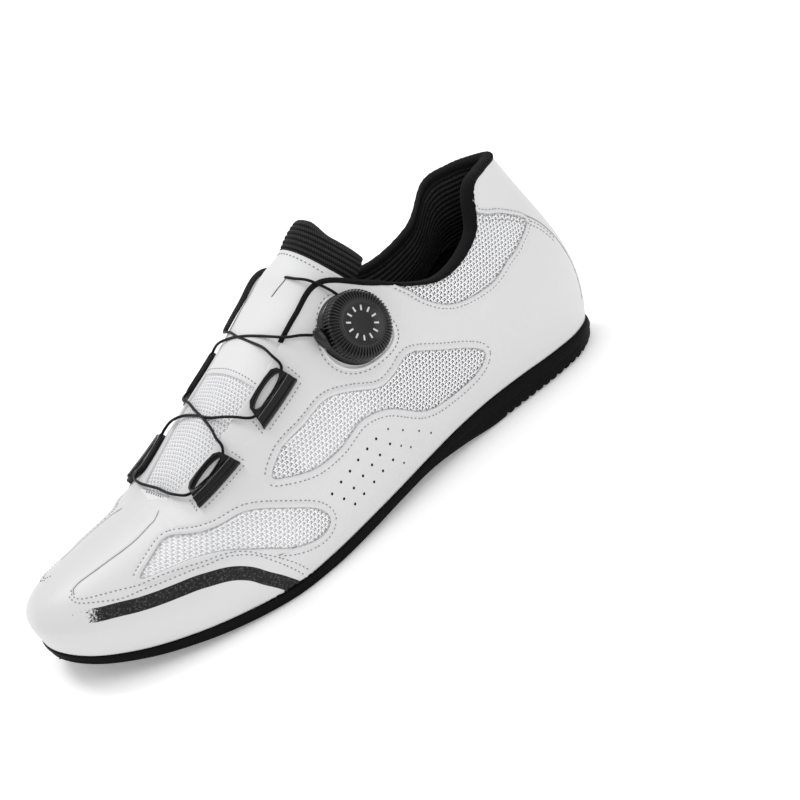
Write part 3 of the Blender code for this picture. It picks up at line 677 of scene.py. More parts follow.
# Features of the upper: smooth lines through (ring, up) places, repeated on the inner side
features = {
    "windows": {
        "forefoot": ((13.6, 0.51), (12.95, 0.65), (12.3, 0.65), (11.7, 0.60), (11.1, 0.55), (10.4, 0.38),
                     (9.85, 0.24), (9.75, 0.15), (10.1, 0.12), (10.7, 0.18), (11.35, 0.315), (12.1, 0.455),
                     (13.0, 0.46)),
        "midfoot": ((10.3, 0.58), (9.8, 0.64), (9.2, 0.62), (8.6, 0.60), (8.0, 0.51), (7.4, 0.43),
                    (6.9, 0.44), (6.3, 0.52), (5.7, 0.50), (5.1, 0.45), (4.7, 0.33), (5.0, 0.24),
                    (5.8, 0.20), (6.6, 0.21), (7.4, 0.32), (8.1, 0.37), (8.8, 0.37), (9.5, 0.41),
                    (10.1, 0.51)),
        "ankle": ((5.68, 1.03), (5.55, 0.93), (5.42, 0.868), (5.17, 0.812), (4.80, 0.760), (4.38, 0.706),
                  (3.92, 0.655), (3.36, 0.604), (2.76, 0.590), (2.20, 0.630), (1.74, 0.668), (1.74, 0.70),
                  (2.02, 0.742), (2.47, 0.79), (2.94, 0.838), (3.35, 0.94), (3.6, 1.06), (4.8, 1.07)),
    },
    "windowDepth": 0.8 * mm, "windowSlope": 0.7 * mm,
    "puff": 0.5 * mm, "puffFrom": 1.5 * mm, "puffRun": 6 * mm,
    "rimHeight": 0.48 * mm, "rimAt": 1.1 * mm, "rimWidth": 0.75 * mm, "sewnDepth": 0.20 * mm,
    "sewnAt": {"forefoot": 2.7 * mm, "midfoot": 2.7 * mm, "ankle": 1.7 * mm},
    "seams": {
        "toeOuter": (((12.75, 0.883), (12.96, 0.816), (13.15, 0.806), (13.58, 0.786), (14.18, 0.791),
                      (14.74, 0.782), (14.98, 0.764), (15.08, 0.722), (14.99, 0.655)), False),
        "toeInner": (((19.02, 0.80), (18.86, 0.735), (18.45, 0.690), (18.0, 0.668), (17.6, 0.655)), False),
        "heel": (((3.47, 0.985), (2.94, 0.854), (2.47, 0.805), (2.05, 0.765), (1.68, 0.714), (1.39, 0.654),
                  (1.20, 0.586), (1.10, 0.50), (1.08, 0.40), (1.10, 0.30), (1.18, 0.20), (1.30, 0.09)), True),
        "corner": (((11.05, 0.205), (10.84, 0.191), (10.62, 0.180)), True),
    },
    "lineRadius": 0.17 * mm,
    "stripe": ((14.90, 0.388), (14.76, 0.382), (14.46, 0.367), (14.1, 0.354), (13.74, 0.332), (13.38, 0.316),
               (13.0, 0.306), (12.6, 0.300), (12.2, 0.286), (11.92, 0.254), (11.67, 0.199), (11.48, 0.133),
               (11.24, 0.060), (11.00, -0.02)),
    "seamDepth": 0.32 * mm, "seamWidth": 0.6 * mm,
    # soft troughs and ridges where the shoe flexes: knots, depth, width
    "creases": (
        (((12.15, 0.93), (12.05, 0.82), (11.85, 0.72)), 0.45 * mm, 3.2 * mm),
        (((12.70, 0.84), (12.62, 0.76), (12.50, 0.70)), 0.30 * mm, 2.6 * mm),
        (((11.10, 0.72), (10.75, 0.66), (10.45, 0.60)), 0.35 * mm, 3.0 * mm),
        (((10.20, 0.84), (10.12, 0.76), (10.05, 0.70)), -0.30 * mm, 3.0 * mm),
        (((13.35, 0.88), (13.30, 0.95), (13.28, 1.00)), 0.28 * mm, 3.6 * mm),
        (((3.9, 0.56), (3.5, 0.44), (3.3, 0.32)), 0.30 * mm, 5.0 * mm),
        (((6.2, 0.66), (5.8, 0.60), (5.3, 0.56)), -0.25 * mm, 3.5 * mm),
    ),
    # how dark the holes of the mesh show, by place round the shoe
    "holeShade": ((0, 3, 5.6, 7.2, 8.0, 9.6, 9.8, 10.6, 13.6, 16),
                  (0.8, 0.8, 1.0, 0.9, 0.56, 0.45, 0.72, 0.42, 0.24, 0.2)),
}


def nearest(points, line, limit):
    # distance to the nearest place of a line on the skin and its number, for the points close to it
    samples = skin(line[:, 0], line[:, 1])
    low, high = samples.min(axis=0) - limit, samples.max(axis=0) + limit
    close = np.flatnonzero(((points > low) & (points < high)).all(axis=1))
    tree = KDTree(len(samples))
    for k, sample in enumerate(samples):
        tree.insert(sample, k)
    tree.balance()
    distance, which = np.full(len(points), limit), np.zeros(len(points), int)
    for k in close:
        _, index, far = tree.find(points[k])
        distance[k], which[k] = min(far, limit), index
    return distance, which


def insideOutline(places, outline):
    hits = np.zeros(len(places), bool)
    x, y = places[:, 0], places[:, 1]
    for (x1, y1), (x2, y2) in zip(outline, np.roll(outline, -1, axis=0)):
        if y1 != y2:
            hits ^= ((y1 > y) != (y2 > y)) & (x < (x2 - x1) * (y - y1) / (y2 - y1) + x1)
    return hits


def ease(value):
    value = np.clip(value, 0, 1)
    return value * value * (3 - 2 * value)


def hump(off, width):
    return np.exp(-(off / width) ** 2)


def bothSides(knots, closed=False, mirrored=True):
    return [skinRun(knots, closed=closed, mirrored=way) for way in ((False, True) if mirrored else (False,))]


def outwardSign(line):
    # 1 where a closed line's left side is outside it, seen from outside the shoe
    x, y = line[:, 0], line[:, 1]
    return 1 if (x * np.roll(y, -1) - y * np.roll(x, -1)).sum() > 0 else -1


def seamLines():
    found = []
    for knots, mirrored in features["seams"].values():
        found += bothSides(knots, mirrored=mirrored)
    return found


def makeUpper():
    size = {"columns": 681, "rows": 117, "snap": 0.42 * mm, "limit": 12 * mm, "lining": 17}
    ring = np.linspace(0, ringEnd, size["columns"])
    up = np.linspace(0, 1, size["rows"])
    ups, rings = np.meshgrid(up, ring, indexing="ij")
    points, normals = skin(rings, ups), sideNormal(rings, ups)
    nearToe = np.abs(ring - toe)[:, None] <= 3
    normals[-1] = np.where(nearToe, unit(normals[-1] + normals[-1, ::-1]), normals[-1])
    uv = np.stack((-points[..., 1], reachAlong(points)), -1) * 10
    flat, out = points.reshape(-1, 3), normals.reshape(-1, 3)
    places = np.column_stack((rings.ravel(), ups.ravel()))

    def gather(line):
        far, which = nearest(flat, line, size["limit"])
        snap = far < size["snap"]
        flat[snap] = skin(*line[which[snap]].T)
        return np.where(snap, 0, far)

    windowEdge = np.full(len(flat), size["limit"])
    for outline in features["windows"].values():
        for line in bothSides(outline, closed=True):
            far = gather(line)
            within = insideOutline(places, line[::4])
            signed = np.where(within, -far, far)
            windowEdge = np.where(np.abs(signed) < np.abs(windowEdge), signed, windowEdge)
            windowEdge[within & (far >= size["limit"])] = -size["limit"]
    seamDistance = np.full(len(flat), size["limit"])
    for line in seamLines():
        seamDistance = np.minimum(seamDistance, nearest(flat, line, size["limit"])[0])
    stripeAcross, stripeRun = np.full(len(flat), size["limit"]), np.zeros(len(flat))
    for line in bothSides(features["stripe"]):
        far, which = nearest(flat, line, size["limit"])
        closer = far < stripeAcross
        stripeAcross[closer], stripeRun[closer] = far[closer], which[closer] / len(line)
    sink = ease(-windowEdge / features["windowSlope"]) * features["windowDepth"]
    sink -= ease((-windowEdge - features["puffFrom"]) / features["puffRun"]) * features["puff"]
    sink -= hump(windowEdge - features["rimAt"], features["rimWidth"]) * features["rimHeight"]
    sink += hump(windowEdge - features["sewnAt"]["midfoot"], features["rimWidth"]) * features["sewnDepth"]
    sink += hump(seamDistance, features["seamWidth"]) * features["seamDepth"]
    for knots, depth, width in features["creases"]:
        for line in bothSides(knots):
            far, which = nearest(flat, line, 3 * width)
            fade = np.sin(np.clip(which / len(line), 0.02, 0.98) * math.pi) ** 0.7
            sink += np.where(far < 3 * width, hump(far, width) * fade * depth, 0)
    flat -= out * sink[:, None]
    points = flat.reshape(points.shape)
    shade = np.interp(np.minimum(rings, ringEnd - rings).ravel(), *features["holeShade"])
    values = {"windowEdge": windowEdge / mm, "seamDistance": seamDistance / mm,
              "stripeAcross": stripeAcross / mm, "stripeRun": stripeRun, "holeShade": shade}
    outer = gridMesh("outer", points, uv, values)
    # lining, the edge at the sole, and the rounded edge round the opening
    innerUps, innerRings = np.meshgrid(np.linspace(1, 0, size["lining"]), ring, indexing="ij")
    shellNormals = sideNormal(innerRings, innerUps)
    shellNormals[0] = normals[-1]
    shell = skin(innerRings, innerUps) - shellNormals * last["wall"]
    lining = gridMesh("lining", shell, np.stack((-shell[..., 1], shell[..., 2]), -1) * 10, look=1)
    low = gridMesh("low", np.stack((points[0], shell[-1])), look=1)
    openAt = np.flatnonzero(np.abs((ring + toe) % ringEnd - toe) <= last["throatBase"] + 1e-6)
    openAt = np.concatenate((openAt[ring[openAt] >= toe], openAt[ring[openAt] < toe]))
    top, inside = points[-1, openAt], shell[0, openAt]
    lift = unit(top - side(ring[openAt], 0.98))
    turn = np.linspace(0, math.pi, 7)[:, None, None]
    rim = (top + inside) / 2 + (top - inside) / 2 * np.cos(turn) + lift * last["wall"] * 0.35 * np.sin(turn)
    rimValues = {}
    for key, value in values.items():
        rimValues[key] = np.broadcast_to(value.reshape(rings.shape)[-1, openAt], rim.shape[:2])
    rimUv = np.broadcast_to(uv[-1, openAt], rim.shape[:2] + (2,))
    edge = gridMesh("rim", rim, rimUv, rimValues)
    looks = [skinMaterial, knitted["liningCloth"]]
    piece("upperSkin", [outer, lining, low, edge], looks, ["upper"])


def makeSeamShadowLines():
    # the dark line at the bottom of each seam: a tube of painted shadow laid in the seam's groove
    sunk = features["seamDepth"] - 0.10 * mm
    runs = [skin(line[:, 0], line[:, 1]) - sideNormal(line[:, 0], line[:, 1]) * sunk for line in seamLines()]
    runs = [tubeMesh("line", run[::3], features["lineRadius"], 1) for run in runs]
    piece("seamLines", runs, plain["paintedShadeGrey"])


makeUpper()
makeSeamShadowLines()
skinTree = BVHTree.FromObject(bpy.data.objects["upperSkin"], bpy.context.evaluated_depsgraph_get())
print("upper done")


# Threads: short stitches laid along lines on the skin
def joinedCopies(name, template, places):
    # one mesh of many copies of a small one, each at its 4 by 4 matrix
    shape = bmesh.new()
    for place in places:
        copy = template.copy()
        copy.transform(Matrix(place))
        shape.from_mesh(copy)
        bpy.data.meshes.remove(copy)
    return finished(shape, name)


def templateMesh(build, scale, **sizes):
    shape = bmesh.new()
    build(shape, **sizes)
    bmesh.ops.scale(shape, vec=scale, verts=shape.verts)
    return finished(shape, "template")


def frameAt(at, forward, out):
    z = unit(out)
    x = unit(forward - z * np.dot(forward, z))
    made = np.eye(4)
    made[:3, 0], made[:3, 1], made[:3, 2], made[:3, 3] = x, np.cross(z, x), z, at
    return made


stitch = {"spacing": 1.95 * mm, "length": 1.10 * mm, "radius": 0.27 * mm}
stitchPlaces = []


def onUpper(at, out):
    # the place on the finished upper under a point of the plain skin
    found = skinTree.ray_cast(Vector(at + out * 3 * mm), Vector(-out), 6 * mm)[0]
    return at if found is None else np.array(found)


def stitchLine(line):
    points, out = skin(line[:, 0], line[:, 1]), sideNormal(line[:, 0], line[:, 1])
    reach = reachAlong(points)
    for far in np.arange(stitch["spacing"] / 2, reach[-1], stitch["spacing"]):
        k = int(np.searchsorted(reach, far))
        if 1 <= k < len(line) - 1 and -0.01 < line[k, 1] < 0.995:
            at = onUpper(points[k], out[k])
            stitchPlaces.append(frameAt(at, points[k + 1] - points[k - 1], out[k]))


def stretches(line, keep):
    # the longer stretches of a line where keep holds
    runs = np.split(np.arange(len(line)), np.flatnonzero(np.diff(keep.astype(int))) + 1)
    return [line[run] for run in runs if keep[run[0]] and len(run) > 8]


def keptParts(line, outlines):
    # the stretches that stay below the top line and outside other outlines
    keep = (line[:, 1] < 0.97) & (line[:, 1] > 0.01)
    for outline in outlines:
        keep &= ~insideOutline(line, outline[::4])
    return stretches(line, keep)


toeRows = (
    ((15.16, 0.674), (14.95, 0.577), (14.76, 0.531), (14.41, 0.478), (14.04, 0.433), (13.66, 0.423),
     (13.29, 0.403), (12.89, 0.390), (12.44, 0.392), (12.02, 0.390), (11.74, 0.358), (11.43, 0.29),
     (11.22, 0.209), (10.95, 0.099), (10.75, 0.01)),
    ((15.15, 0.74), (15.05, 0.66), (14.81, 0.583), (14.39, 0.538), (14.0, 0.503), (13.62, 0.464),
     (13.24, 0.445), (12.83, 0.426), (12.48, 0.422), (12.16, 0.421), (11.92, 0.406), (11.62, 0.362),
     (11.35, 0.283), (11.12, 0.21), (10.83, 0.108), (10.63, 0.022)),
)
rowRings, rowUps = skinRun(toeRows[1], spacing=1.0 * mm)[::-1].T
for label, outline in features["windows"].items():
    for line in bothSides(outline, closed=True):
        around = shifted(line, features["sewnAt"][label] * outwardSign(line))
        for part in keptParts(around, [line]):
            onOuter = np.minimum(part[:, 0], ringEnd - part[:, 0])
            row = np.interp(onOuter, rowRings, rowUps, left=-1, right=-1)
            for run in stretches(part, part[:, 1] > row + 0.02):  # above the toe rows only
                stitchLine(run)
forefootEdges = bothSides(features["windows"]["forefoot"], closed=True)
forefootRims = [shifted(line, 0.25 * mm * outwardSign(line)) for line in forefootEdges]
for knots in toeRows:
    for line in bothSides(knots):
        for part in keptParts(line, forefootRims):
            stitchLine(part)
for line in bothSides(features["seams"]["heel"][0][:8]):
    away = -1 if line[0, 0] < toe else 1
    stitchLine(shifted(line, 1.9 * mm * away))
    stitchLine(shifted(line, 3.9 * mm * away))
threadSize = (stitch["length"] / 2, stitch["radius"], stitch["radius"])
threadShape = templateMesh(bmesh.ops.create_uvsphere, threadSize, u_segments=6, v_segments=4, radius=1.0)
print("stitches", len(stitchPlaces))

# Perforations in slanted rows of three below the midfoot window
perforation = {
    "radius": 0.62 * mm,
    "places": (
        (9.46, 0.247), (9.27, 0.179), (9.09, 0.115), (9.16, 0.253), (8.96, 0.179), (8.80, 0.117),
        (8.87, 0.255), (8.65, 0.185), (8.47, 0.120), (8.59, 0.259), (8.35, 0.187), (8.17, 0.125),
        (8.29, 0.259), (8.08, 0.191), (7.84, 0.128), (7.62, 0.078), (8.00, 0.260), (7.75, 0.195),
        (7.52, 0.151), (7.31, 0.113), (7.64, 0.254), (7.32, 0.203), (6.96, 0.148), (6.70, 0.098)),
}
holePlaces = []
for ringAt, up in perforation["places"]:
    for ring in (ringAt, ringEnd - ringAt):
        at, out = side(ring, up), sideNormal(ring, up)
        scale = np.diag([1 if ringAt > 7.7 else 0.75] * 3 + [1])
        forward = side(ring + 0.02, up) - at
        holePlaces.append(frameAt(at + out * 0.02 * mm, forward, out) @ scale)
holeSize = {"cap_ends": True, "segments": 12, "radius": perforation["radius"]}
holeShape = templateMesh(bmesh.ops.create_circle, (1, 1, 1), **holeSize)
holes = joinedCopies("perforations", holeShape, holePlaces)
piece("perforations", holes, plain["holeShade"], weld=0, outward=False)
print("perforations done")


# Tongue, its knit cuff and the wire's slit
tongue = {
    "thick": 2.6 * mm, "share": 0.62, "from": 13.5, "to": 7.3, "wrap": 0.15, "rise": math.radians(32),
    "white": 10.5 * mm, "cuffLength": 13 * mm, "cuffHalf": 18 * mm, "cuffDrop": 20.5 * mm,
    "cuffArc": math.radians(100), "outerCut": 0.22, "cuffRows": 61, "cuffSwell": 0.5 * mm,
    "under": 2.9 * mm, "bulge": 1.3 * mm, "puff": 1.7 * mm, "columns": 121,
    "meshFrom": 9.3, "seamBow": 2.2 * mm, "seamStep": 0.55 * mm, "seamRidge": 0.25 * mm, "seamRun": 0.7 * mm,
    "cuffRidge": 0.4 * mm, "ribPitch": 2.15 * mm, "ribHeight": 0.5 * mm, "sewnHalf": 42,
    "slit": ((7.33, 0.31), (7.50, 0.33), (7.70, 0.36), (7.88, 0.40)),
}


def tongueRow(ring, columns):
    share = tongue["share"] if ring < last["throatBase"] - 0.2 else 0.0
    wrap = np.interp(ring, (tongue["to"], tongue["to"] + 1, last["throatBase"] - 0.3, last["throatBase"]),
                     (0.04, tongue["wrap"], tongue["wrap"], 2 * tongue["wrap"]))
    row = []
    for s in columns:
        beyond = max(abs(s) - share, 0) / (1 - share)
        inner = 0.5 - 0.5 * s / share if share and not beyond else float(s <= 0)
        row.append(overThroat(ring, inner + (-1 if s > 0 else 1) * beyond * wrap))
    return np.array(row)


leatherEdge = 12.0  # well on the leather's side of the tongue's mesh seam, in mm


def gridNormals(points):
    return unit(np.cross(np.gradient(points, axis=0), np.gradient(points, axis=1)))


def tongueSurface():
    columns = np.linspace(-1, 1, tongue["columns"])
    rings = np.arange(tongue["from"], tongue["to"] - 1e-6, -0.05)
    low = [tongueRow(ring, columns) for ring in rings]
    slope = np.array((0, math.cos(tongue["rise"]), math.sin(tongue["rise"])))
    sink = np.array((0, math.sin(tongue["rise"]), -math.cos(tongue["rise"])))
    crown = low[-1][len(columns) // 2]
    turn = columns * tongue["cuffArc"] * (1 + 0.16 * ease(columns))
    spread = np.outer(np.sin(turn), (tongue["cuffHalf"], 0, 0))
    arch = crown + spread + np.outer(1 - np.cos(turn), sink * tongue["cuffDrop"])
    white, whole = tongue["white"], tongue["white"] + tongue["cuffLength"]
    cuffTravels = np.linspace(white, whole, tongue["cuffRows"])
    travels = np.concatenate((np.arange(1.2 * mm, white, 0.8 * mm), cuffTravels))
    lowered = 1 - tongue["outerCut"] * ease((columns - 0.15) / 0.4)
    high = []
    for travel in travels:
        share = ease(min(travel / white, 1))
        reach = np.minimum(travel, white) + max(travel - white, 0) * lowered
        high.append(low[-1] * (1 - share) + arch * share + slope * reach[:, None])
    surface = np.array(low + high)
    places = np.concatenate((rings, np.full(len(high), tongue["to"])))
    normal = gridNormals(surface)
    normal *= np.sign(normal[len(low) // 2, len(columns) // 2, 2])
    across = np.clip(1 - (columns / tongue["share"]) ** 2, 0, 1)
    swell = np.interp(places, (tongue["to"], 8.2, 11.6, 12.4), (0.5, 1, 1, 0))[:, None] * across
    t = columns / tongue["share"]
    puff = ease((t + 1.0) / 0.07) * (1 - ease((t + 0.93) / 0.7)) * tongue["puff"]
    puffed = np.interp(places, (tongue["to"], 8.0, 12.2, 12.6), (0, 1, 1, 0))[:, None] * puff
    surface -= normal * (tongue["under"] - tongue["bulge"] * swell - puffed)[..., None]
    return surface, normal, places, len(surface) - tongue["cuffRows"], columns


def slabMeshes(face, back, uv, values):
    # a face, its back and the edges between them, which are leather
    made = [gridMesh("face", face, uv, values), gridMesh("back", back, uv, values)]
    for edge in ((0,), (-1,), (slice(None), 0), (slice(None), -1)):
        loop = np.stack((face[edge], back[edge]))
        leather = {label: np.full(loop.shape[:2], leatherEdge) for label in values}
        made.append(gridMesh("edge", loop, loop[..., :2] * 10, leather))
    return made


def sewRow(points, normals):
    # stitches along a row of places
    reach = reachAlong(points)
    for far in np.arange(stitch["spacing"], reach[-1] - stitch["spacing"], stitch["spacing"]):
        k = int(np.clip(np.searchsorted(reach, far), 1, len(points) - 2))
        at = [np.interp(far, reach, points[:, axis]) for axis in range(3)]
        stitchPlaces.append(frameAt(np.array(at), points[k + 1] - points[k - 1], normals[k]))


def makeTongue():
    face, normal, places, split, columns = tongueSurface()
    centre = len(columns) // 2
    reach, across = reachAlong(face), reachAlong(face.swapaxes(0, 1)).T
    across = across - across[:, centre][:, None]
    uv = np.stack((across, np.broadcast_to(reach[:, centre][:, None], reach.shape)), -1) * 10
    seamRow = int(np.argmin(np.abs(places - tongue["meshFrom"])))
    bow = tongue["seamBow"] * (1 - columns ** 2)
    meshEdge = reach - reach[seamRow][None, :] + bow  # below the seam is mesh
    raised = ease(meshEdge / tongue["seamRun"]) * tongue["seamStep"]
    raised += hump(meshEdge - 0.9 * mm, tongue["seamRun"]) * tongue["seamRidge"]
    ridge = hump(reach[split] - reach, 0.9 * mm) * tongue["cuffRidge"]
    raised += np.where(np.arange(len(face))[:, None] <= split, ridge, 0)
    face = face + normal * raised[..., None]
    back = face - normal * tongue["thick"]
    values = {"meshEdge": meshEdge[:split] / mm}
    body = slabMeshes(face[:split], back[:split], uv[:split], values)
    made = piece("tongueBody", body, tongueMaterial, ["tongue"])
    half = slice(centre - tongue["sewnHalf"], centre + tongue["sewnHalf"] + 1)
    top = split - 3
    sewRow(face[top, half] + normal[top, half] * 0.05 * mm, normal[top, half])
    sewn = int(np.argmin(np.abs(meshEdge[:, centre] - 2.4 * mm)))
    sewRow(face[sewn, half] + normal[sewn, half] * 0.02 * mm, normal[sewn, half])
    slit = []
    for ring, share in tongue["slit"]:
        row = int(np.argmin(np.abs(places[:split] - ring)))
        s = (0.5 - share) * 2 * tongue["share"]
        column = int(np.argmin(np.abs(columns - s)))
        slit.append(face[row, column] + normal[row, column] * 0.03 * mm)
    # a dark tube of painted shadow for the inside of the slit that the wire passes through
    piece("wireSlit", tubeMesh("slit", smoothRun(slit, 24), 0.22 * mm, 2), plain["slitShade"])
    makeCuff(face[split - 1:], back[split - 1:], normal[split - 1:], uv[split - 1, :, 0], reach[split - 1:])


def makeCuff(face, back, normal, uvAcross, reach):
    # cuff: padded ribbed knit with a rounded top edge
    far = reach - reach[0]
    wave = 0.5 + 0.5 * np.cos(far * math.tau / tongue["ribPitch"])
    inside = ease(far / (1.2 * mm)) * ease((far[-1] - far) / (1.4 * mm))
    swell = np.sin(np.clip(far / far[-1] * 1.1, 0, 1) * math.pi) * tongue["cuffSwell"]
    face = face + normal * (swell + wave ** 0.8 * inside * tongue["ribHeight"] - 0.2 * mm)[..., None]
    turn = np.linspace(0, math.pi, 9)[1:-1, None, None]
    top, low = face[-1], back[-1]
    rise = unit(face[-1] - face[-3]) * tongue["thick"] / 2
    bead = (top + low) / 2 + (top - low) / 2 * np.cos(turn) + rise * np.sin(turn)
    loop = np.concatenate((face, bead, back[::-1], face[:1]))
    around = reachAlong(loop)
    uv = np.stack((np.broadcast_to(uvAcross, around.shape), around * 10), -1)
    # painted shade in the grooves between the ribs
    grooveShadeAndRoll = np.zeros(loop.shape[:2])
    grooveShadeAndRoll[:len(face)] = (1 - wave) ** 1.5 * inside
    mesh = gridMesh("cuff", loop, uv, {"grooveShadeAndRoll": grooveShadeAndRoll})
    cuff = piece("tongueCuff", mesh, knitted["cuffKnit"], ["tongue_cuff"], close=True)


makeTongue()
print("tongue done")

# Collar lining: padded ribbed knit that rolls over the top line
collar = {
    "front": 6.8, "depth": 0.42, "thick": 4.2 * mm, "thin": 2.0 * mm, "roll": 2.1 * mm, "lip": 0.7 * mm,
    "gap": 0.3 * mm, "ribPitch": 2.4 * mm, "ribHeight": 0.7 * mm,
}


def makeCollar():
    around = np.linspace(-collar["front"], collar["front"], 301)
    full, thin = collar["thick"], collar["thin"]
    thick = np.interp(np.abs(around), (0, 5.6, collar["front"]), (full, full, thin))
    end = np.clip((collar["front"] - np.abs(around)) / 0.5, 0.35, 1)
    start = last["wall"] + collar["gap"]
    outward, top = sideNormal(around, 1), side(around, 1)
    ragged = 0.16 * mm * (np.sin(around * 31) + np.sin(around * 53 + 1.0))
    rows = []
    for share in np.linspace(0, 1, 8):  # behind, hidden by the upper
        up = 1 - collar["depth"] * (1 - share) - 0.015 * share
        rows.append(side(around, up) - sideNormal(around, up) * start)
    rows.append(side(around, 0.985) + outward * 0.1 * mm)
    for turn in np.linspace(0, math.pi, 17):  # rolled edge, from just outside the top line to the inside
        swing = 0.5 - 0.5 * math.cos(turn)
        reach = (start + thick + collar["lip"]) * swing - collar["lip"] + (1 - swing) * ragged
        height = collar["roll"] * end * math.sin(turn) ** 0.75 - (1 - swing) * 0.9 * mm
        rows.append(top - outward * reach[:, None] + np.array((0, 0, 1.0)) * height[:, None])
    rolled = len(rows)
    for share in np.linspace(0, 1, 100)[1:]:  # the padded face inside
        up = 1 - collar["depth"] * share
        fullness = 1 - 0.72 * ease((share - 0.45) / 0.55)
        inward = start + thick * fullness
        rows.append(side(around, up) - sideNormal(around, up) * inward[:, None])
    rows.append(rows[0])
    loop = np.array(rows)
    reach = reachAlong(loop)
    far = reach - reach[rolled]
    wave = 0.5 + 0.5 * np.cos((far - 0.8 * mm) * math.tau / collar["ribPitch"])
    inside = ease(far / (1.5 * mm)) * (np.arange(len(loop)) < len(loop) - 3)[:, None]
    normal = gridNormals(loop)
    normal *= np.sign(np.einsum("ij,ij->i", normal[rolled + 40], -outward))[None, :, None]
    loop[1:-1] += (normal * ((wave ** 0.8 - 0.6) * inside * collar["ribHeight"])[..., None])[1:-1]
    uv = np.stack((np.broadcast_to(reachAlong(top), reach.shape), reach), -1) * 10
    # painted shade in the grooves between the ribs; the rolled edge and the first 1.6 mm inside it are made
    # darker too
    grooveShadeAndRoll = (1 - wave) ** 1.5 * inside + 0.92 * (1 - ease(far / (1.6 * mm)))
    mesh = gridMesh("collar", loop, uv, {"grooveShadeAndRoll": grooveShadeAndRoll})
    made = piece("collarLining", mesh, knitted["collarKnit"], ["collar_lining"], close=True)


makeCollar()
print("collar done")

# Insole
insole = {"inset": 3.0 * mm, "thick": 3.4 * mm, "gap": 0.3 * mm, "cup": 0.8 * mm}


def makeInsole():
    rings = np.linspace(0.02, toe - 0.02, 141)
    outer = footLine(rings) - footOutward(rings) * insole["inset"]
    inner = footLine(ringEnd - rings) - footOutward(ringEnd - rings) * insole["inset"]
    share = np.linspace(0, 1, 41)[:, None, None]
    bed = outer * (1 - share) + inner * share
    stations = last["halfway"] - bed[..., 1] / last["length"]
    fine = ringValues(np.linspace(0, toe, 161))
    bed[..., 2] = np.interp(stations, fine[:, 0], fine[:, 2]) * last["heelStack"] + insole["gap"]
    face = bed.copy()
    face[..., 2] += insole["thick"] + insole["cup"] * (np.abs(share[..., 0] - 0.5) * 2) ** 4
    slab = slabMeshes(face, bed, bed[..., :2] * 10, {})
    piece("insoleBed", slab, knitted["bedCloth"], ["insole"])


makeInsole()
print("insole done")

# Outsole: wall, tread and top in one skin of columns round the edge
sole = {
    # mm out of the foot line, share of the way down
    "side": ((0.0, 0.00), (0.75, 0.05), (0.95, 0.20), (1.0, 0.40), (0.75, 0.43), (0.15, 0.46), (0.0, 0.50),
             (0.0, 0.78), (-0.5, 0.88), (-1.3, 0.95), (-3.2, 1.00)),
    "columns": 1100, "treadRows": 46, "gap": 0.3 * mm, "tuck": 0.7 * mm,
    # first, last, pitch, width, depth, angle, rim
    "grooves": ((0.040, 0.262, 0.0044, 0.0020, 0.0021, 0, -0.004),
                (0.575, 0.760, 0.0075, 0.0020, 0.0013, 24, 0.009),
                (0.800, 0.925, 0.0090, 0.0022, 0.0013, -32, 0.009)),
}


def grooveDepth(x, y, inset):
    # depth of the tread's grooves at a place: x from the middle line, y along, inset from the edge
    depth = np.zeros_like(x)
    for first, end, pitch, width, deep, angle, rim in sole["grooves"]:
        straight = y - np.abs(x) * math.tan(math.radians(angle))
        place = (along(first) - straight) / pitch
        count = math.floor((end - first) * last["length"] / pitch)
        near = np.clip(np.round(place), 0, count)
        off = np.abs(place - near) * pitch
        cut = ease((width / 2 + 0.25 * mm - off) / (0.5 * mm)) * deep
        depth = np.maximum(depth, cut * ease((inset - rim) / (0.8 * mm)))
    return depth


def makeOutsole():
    ring = np.linspace(0, ringEnd, sole["columns"] + 1)
    rim, out = footLine(ring), footOutward(ring)
    tuck = sole["tuck"] * ease((2.4 - np.abs(ring - toe)) / 1.6)
    v = ringValues(ring)
    tread = np.maximum(v[:, 10], 0) * last["heelStack"]
    top = rim[:, 2] - sole["gap"]
    fine = ringValues(np.linspace(0, toe, 161))
    rows = [np.column_stack((middle(v[:, 0]), along(v[:, 0]), top))]
    for beyond, down in sole["side"]:
        row = rim + out * (beyond * mm - tuck[:, None] * (beyond >= 0))
        row[:, 2] = top - down * (top - tread)
        rows.append(row)
    edge = rows[-1]
    inward = np.column_stack((middle(v[:, 0]) - edge[:, 0], 0 * tread, 0 * tread))
    span = np.abs(inward[:, 0])
    for share in np.linspace(0, 1, sole["treadRows"] + 1)[1:]:
        row = edge + inward * share
        row[:, 1] += (along(v[:, 0]) - edge[:, 1]) * share
        rows.append(row)
    loop = np.array(rows)
    low = loop[len(sole["side"]) - 3:]
    station = last["halfway"] - low[..., 1] / last["length"]
    x = low[..., 0] - middle(station)
    inset = np.where(np.arange(len(low))[:, None] < 4, -0.001, np.linspace(0, 1, len(low))[:, None] * span)
    depth = grooveDepth(x, low[..., 1], inset)
    floor = np.maximum(np.interp(station, fine[:, 0], fine[:, 10]), 0) * last["heelStack"]
    low[..., 2] = np.maximum(low[..., 2], np.where(np.arange(len(low))[:, None] >= 3, floor, 0))
    low[..., 2] = np.maximum(low[..., 2], floor + depth)
    mesh = gridMesh("sole", loop, loop[..., :2] * 10)
    piece("outsoleBody", mesh, plain["soleRubber"], ["outsole"])


makeOutsole()
print("outsole done")

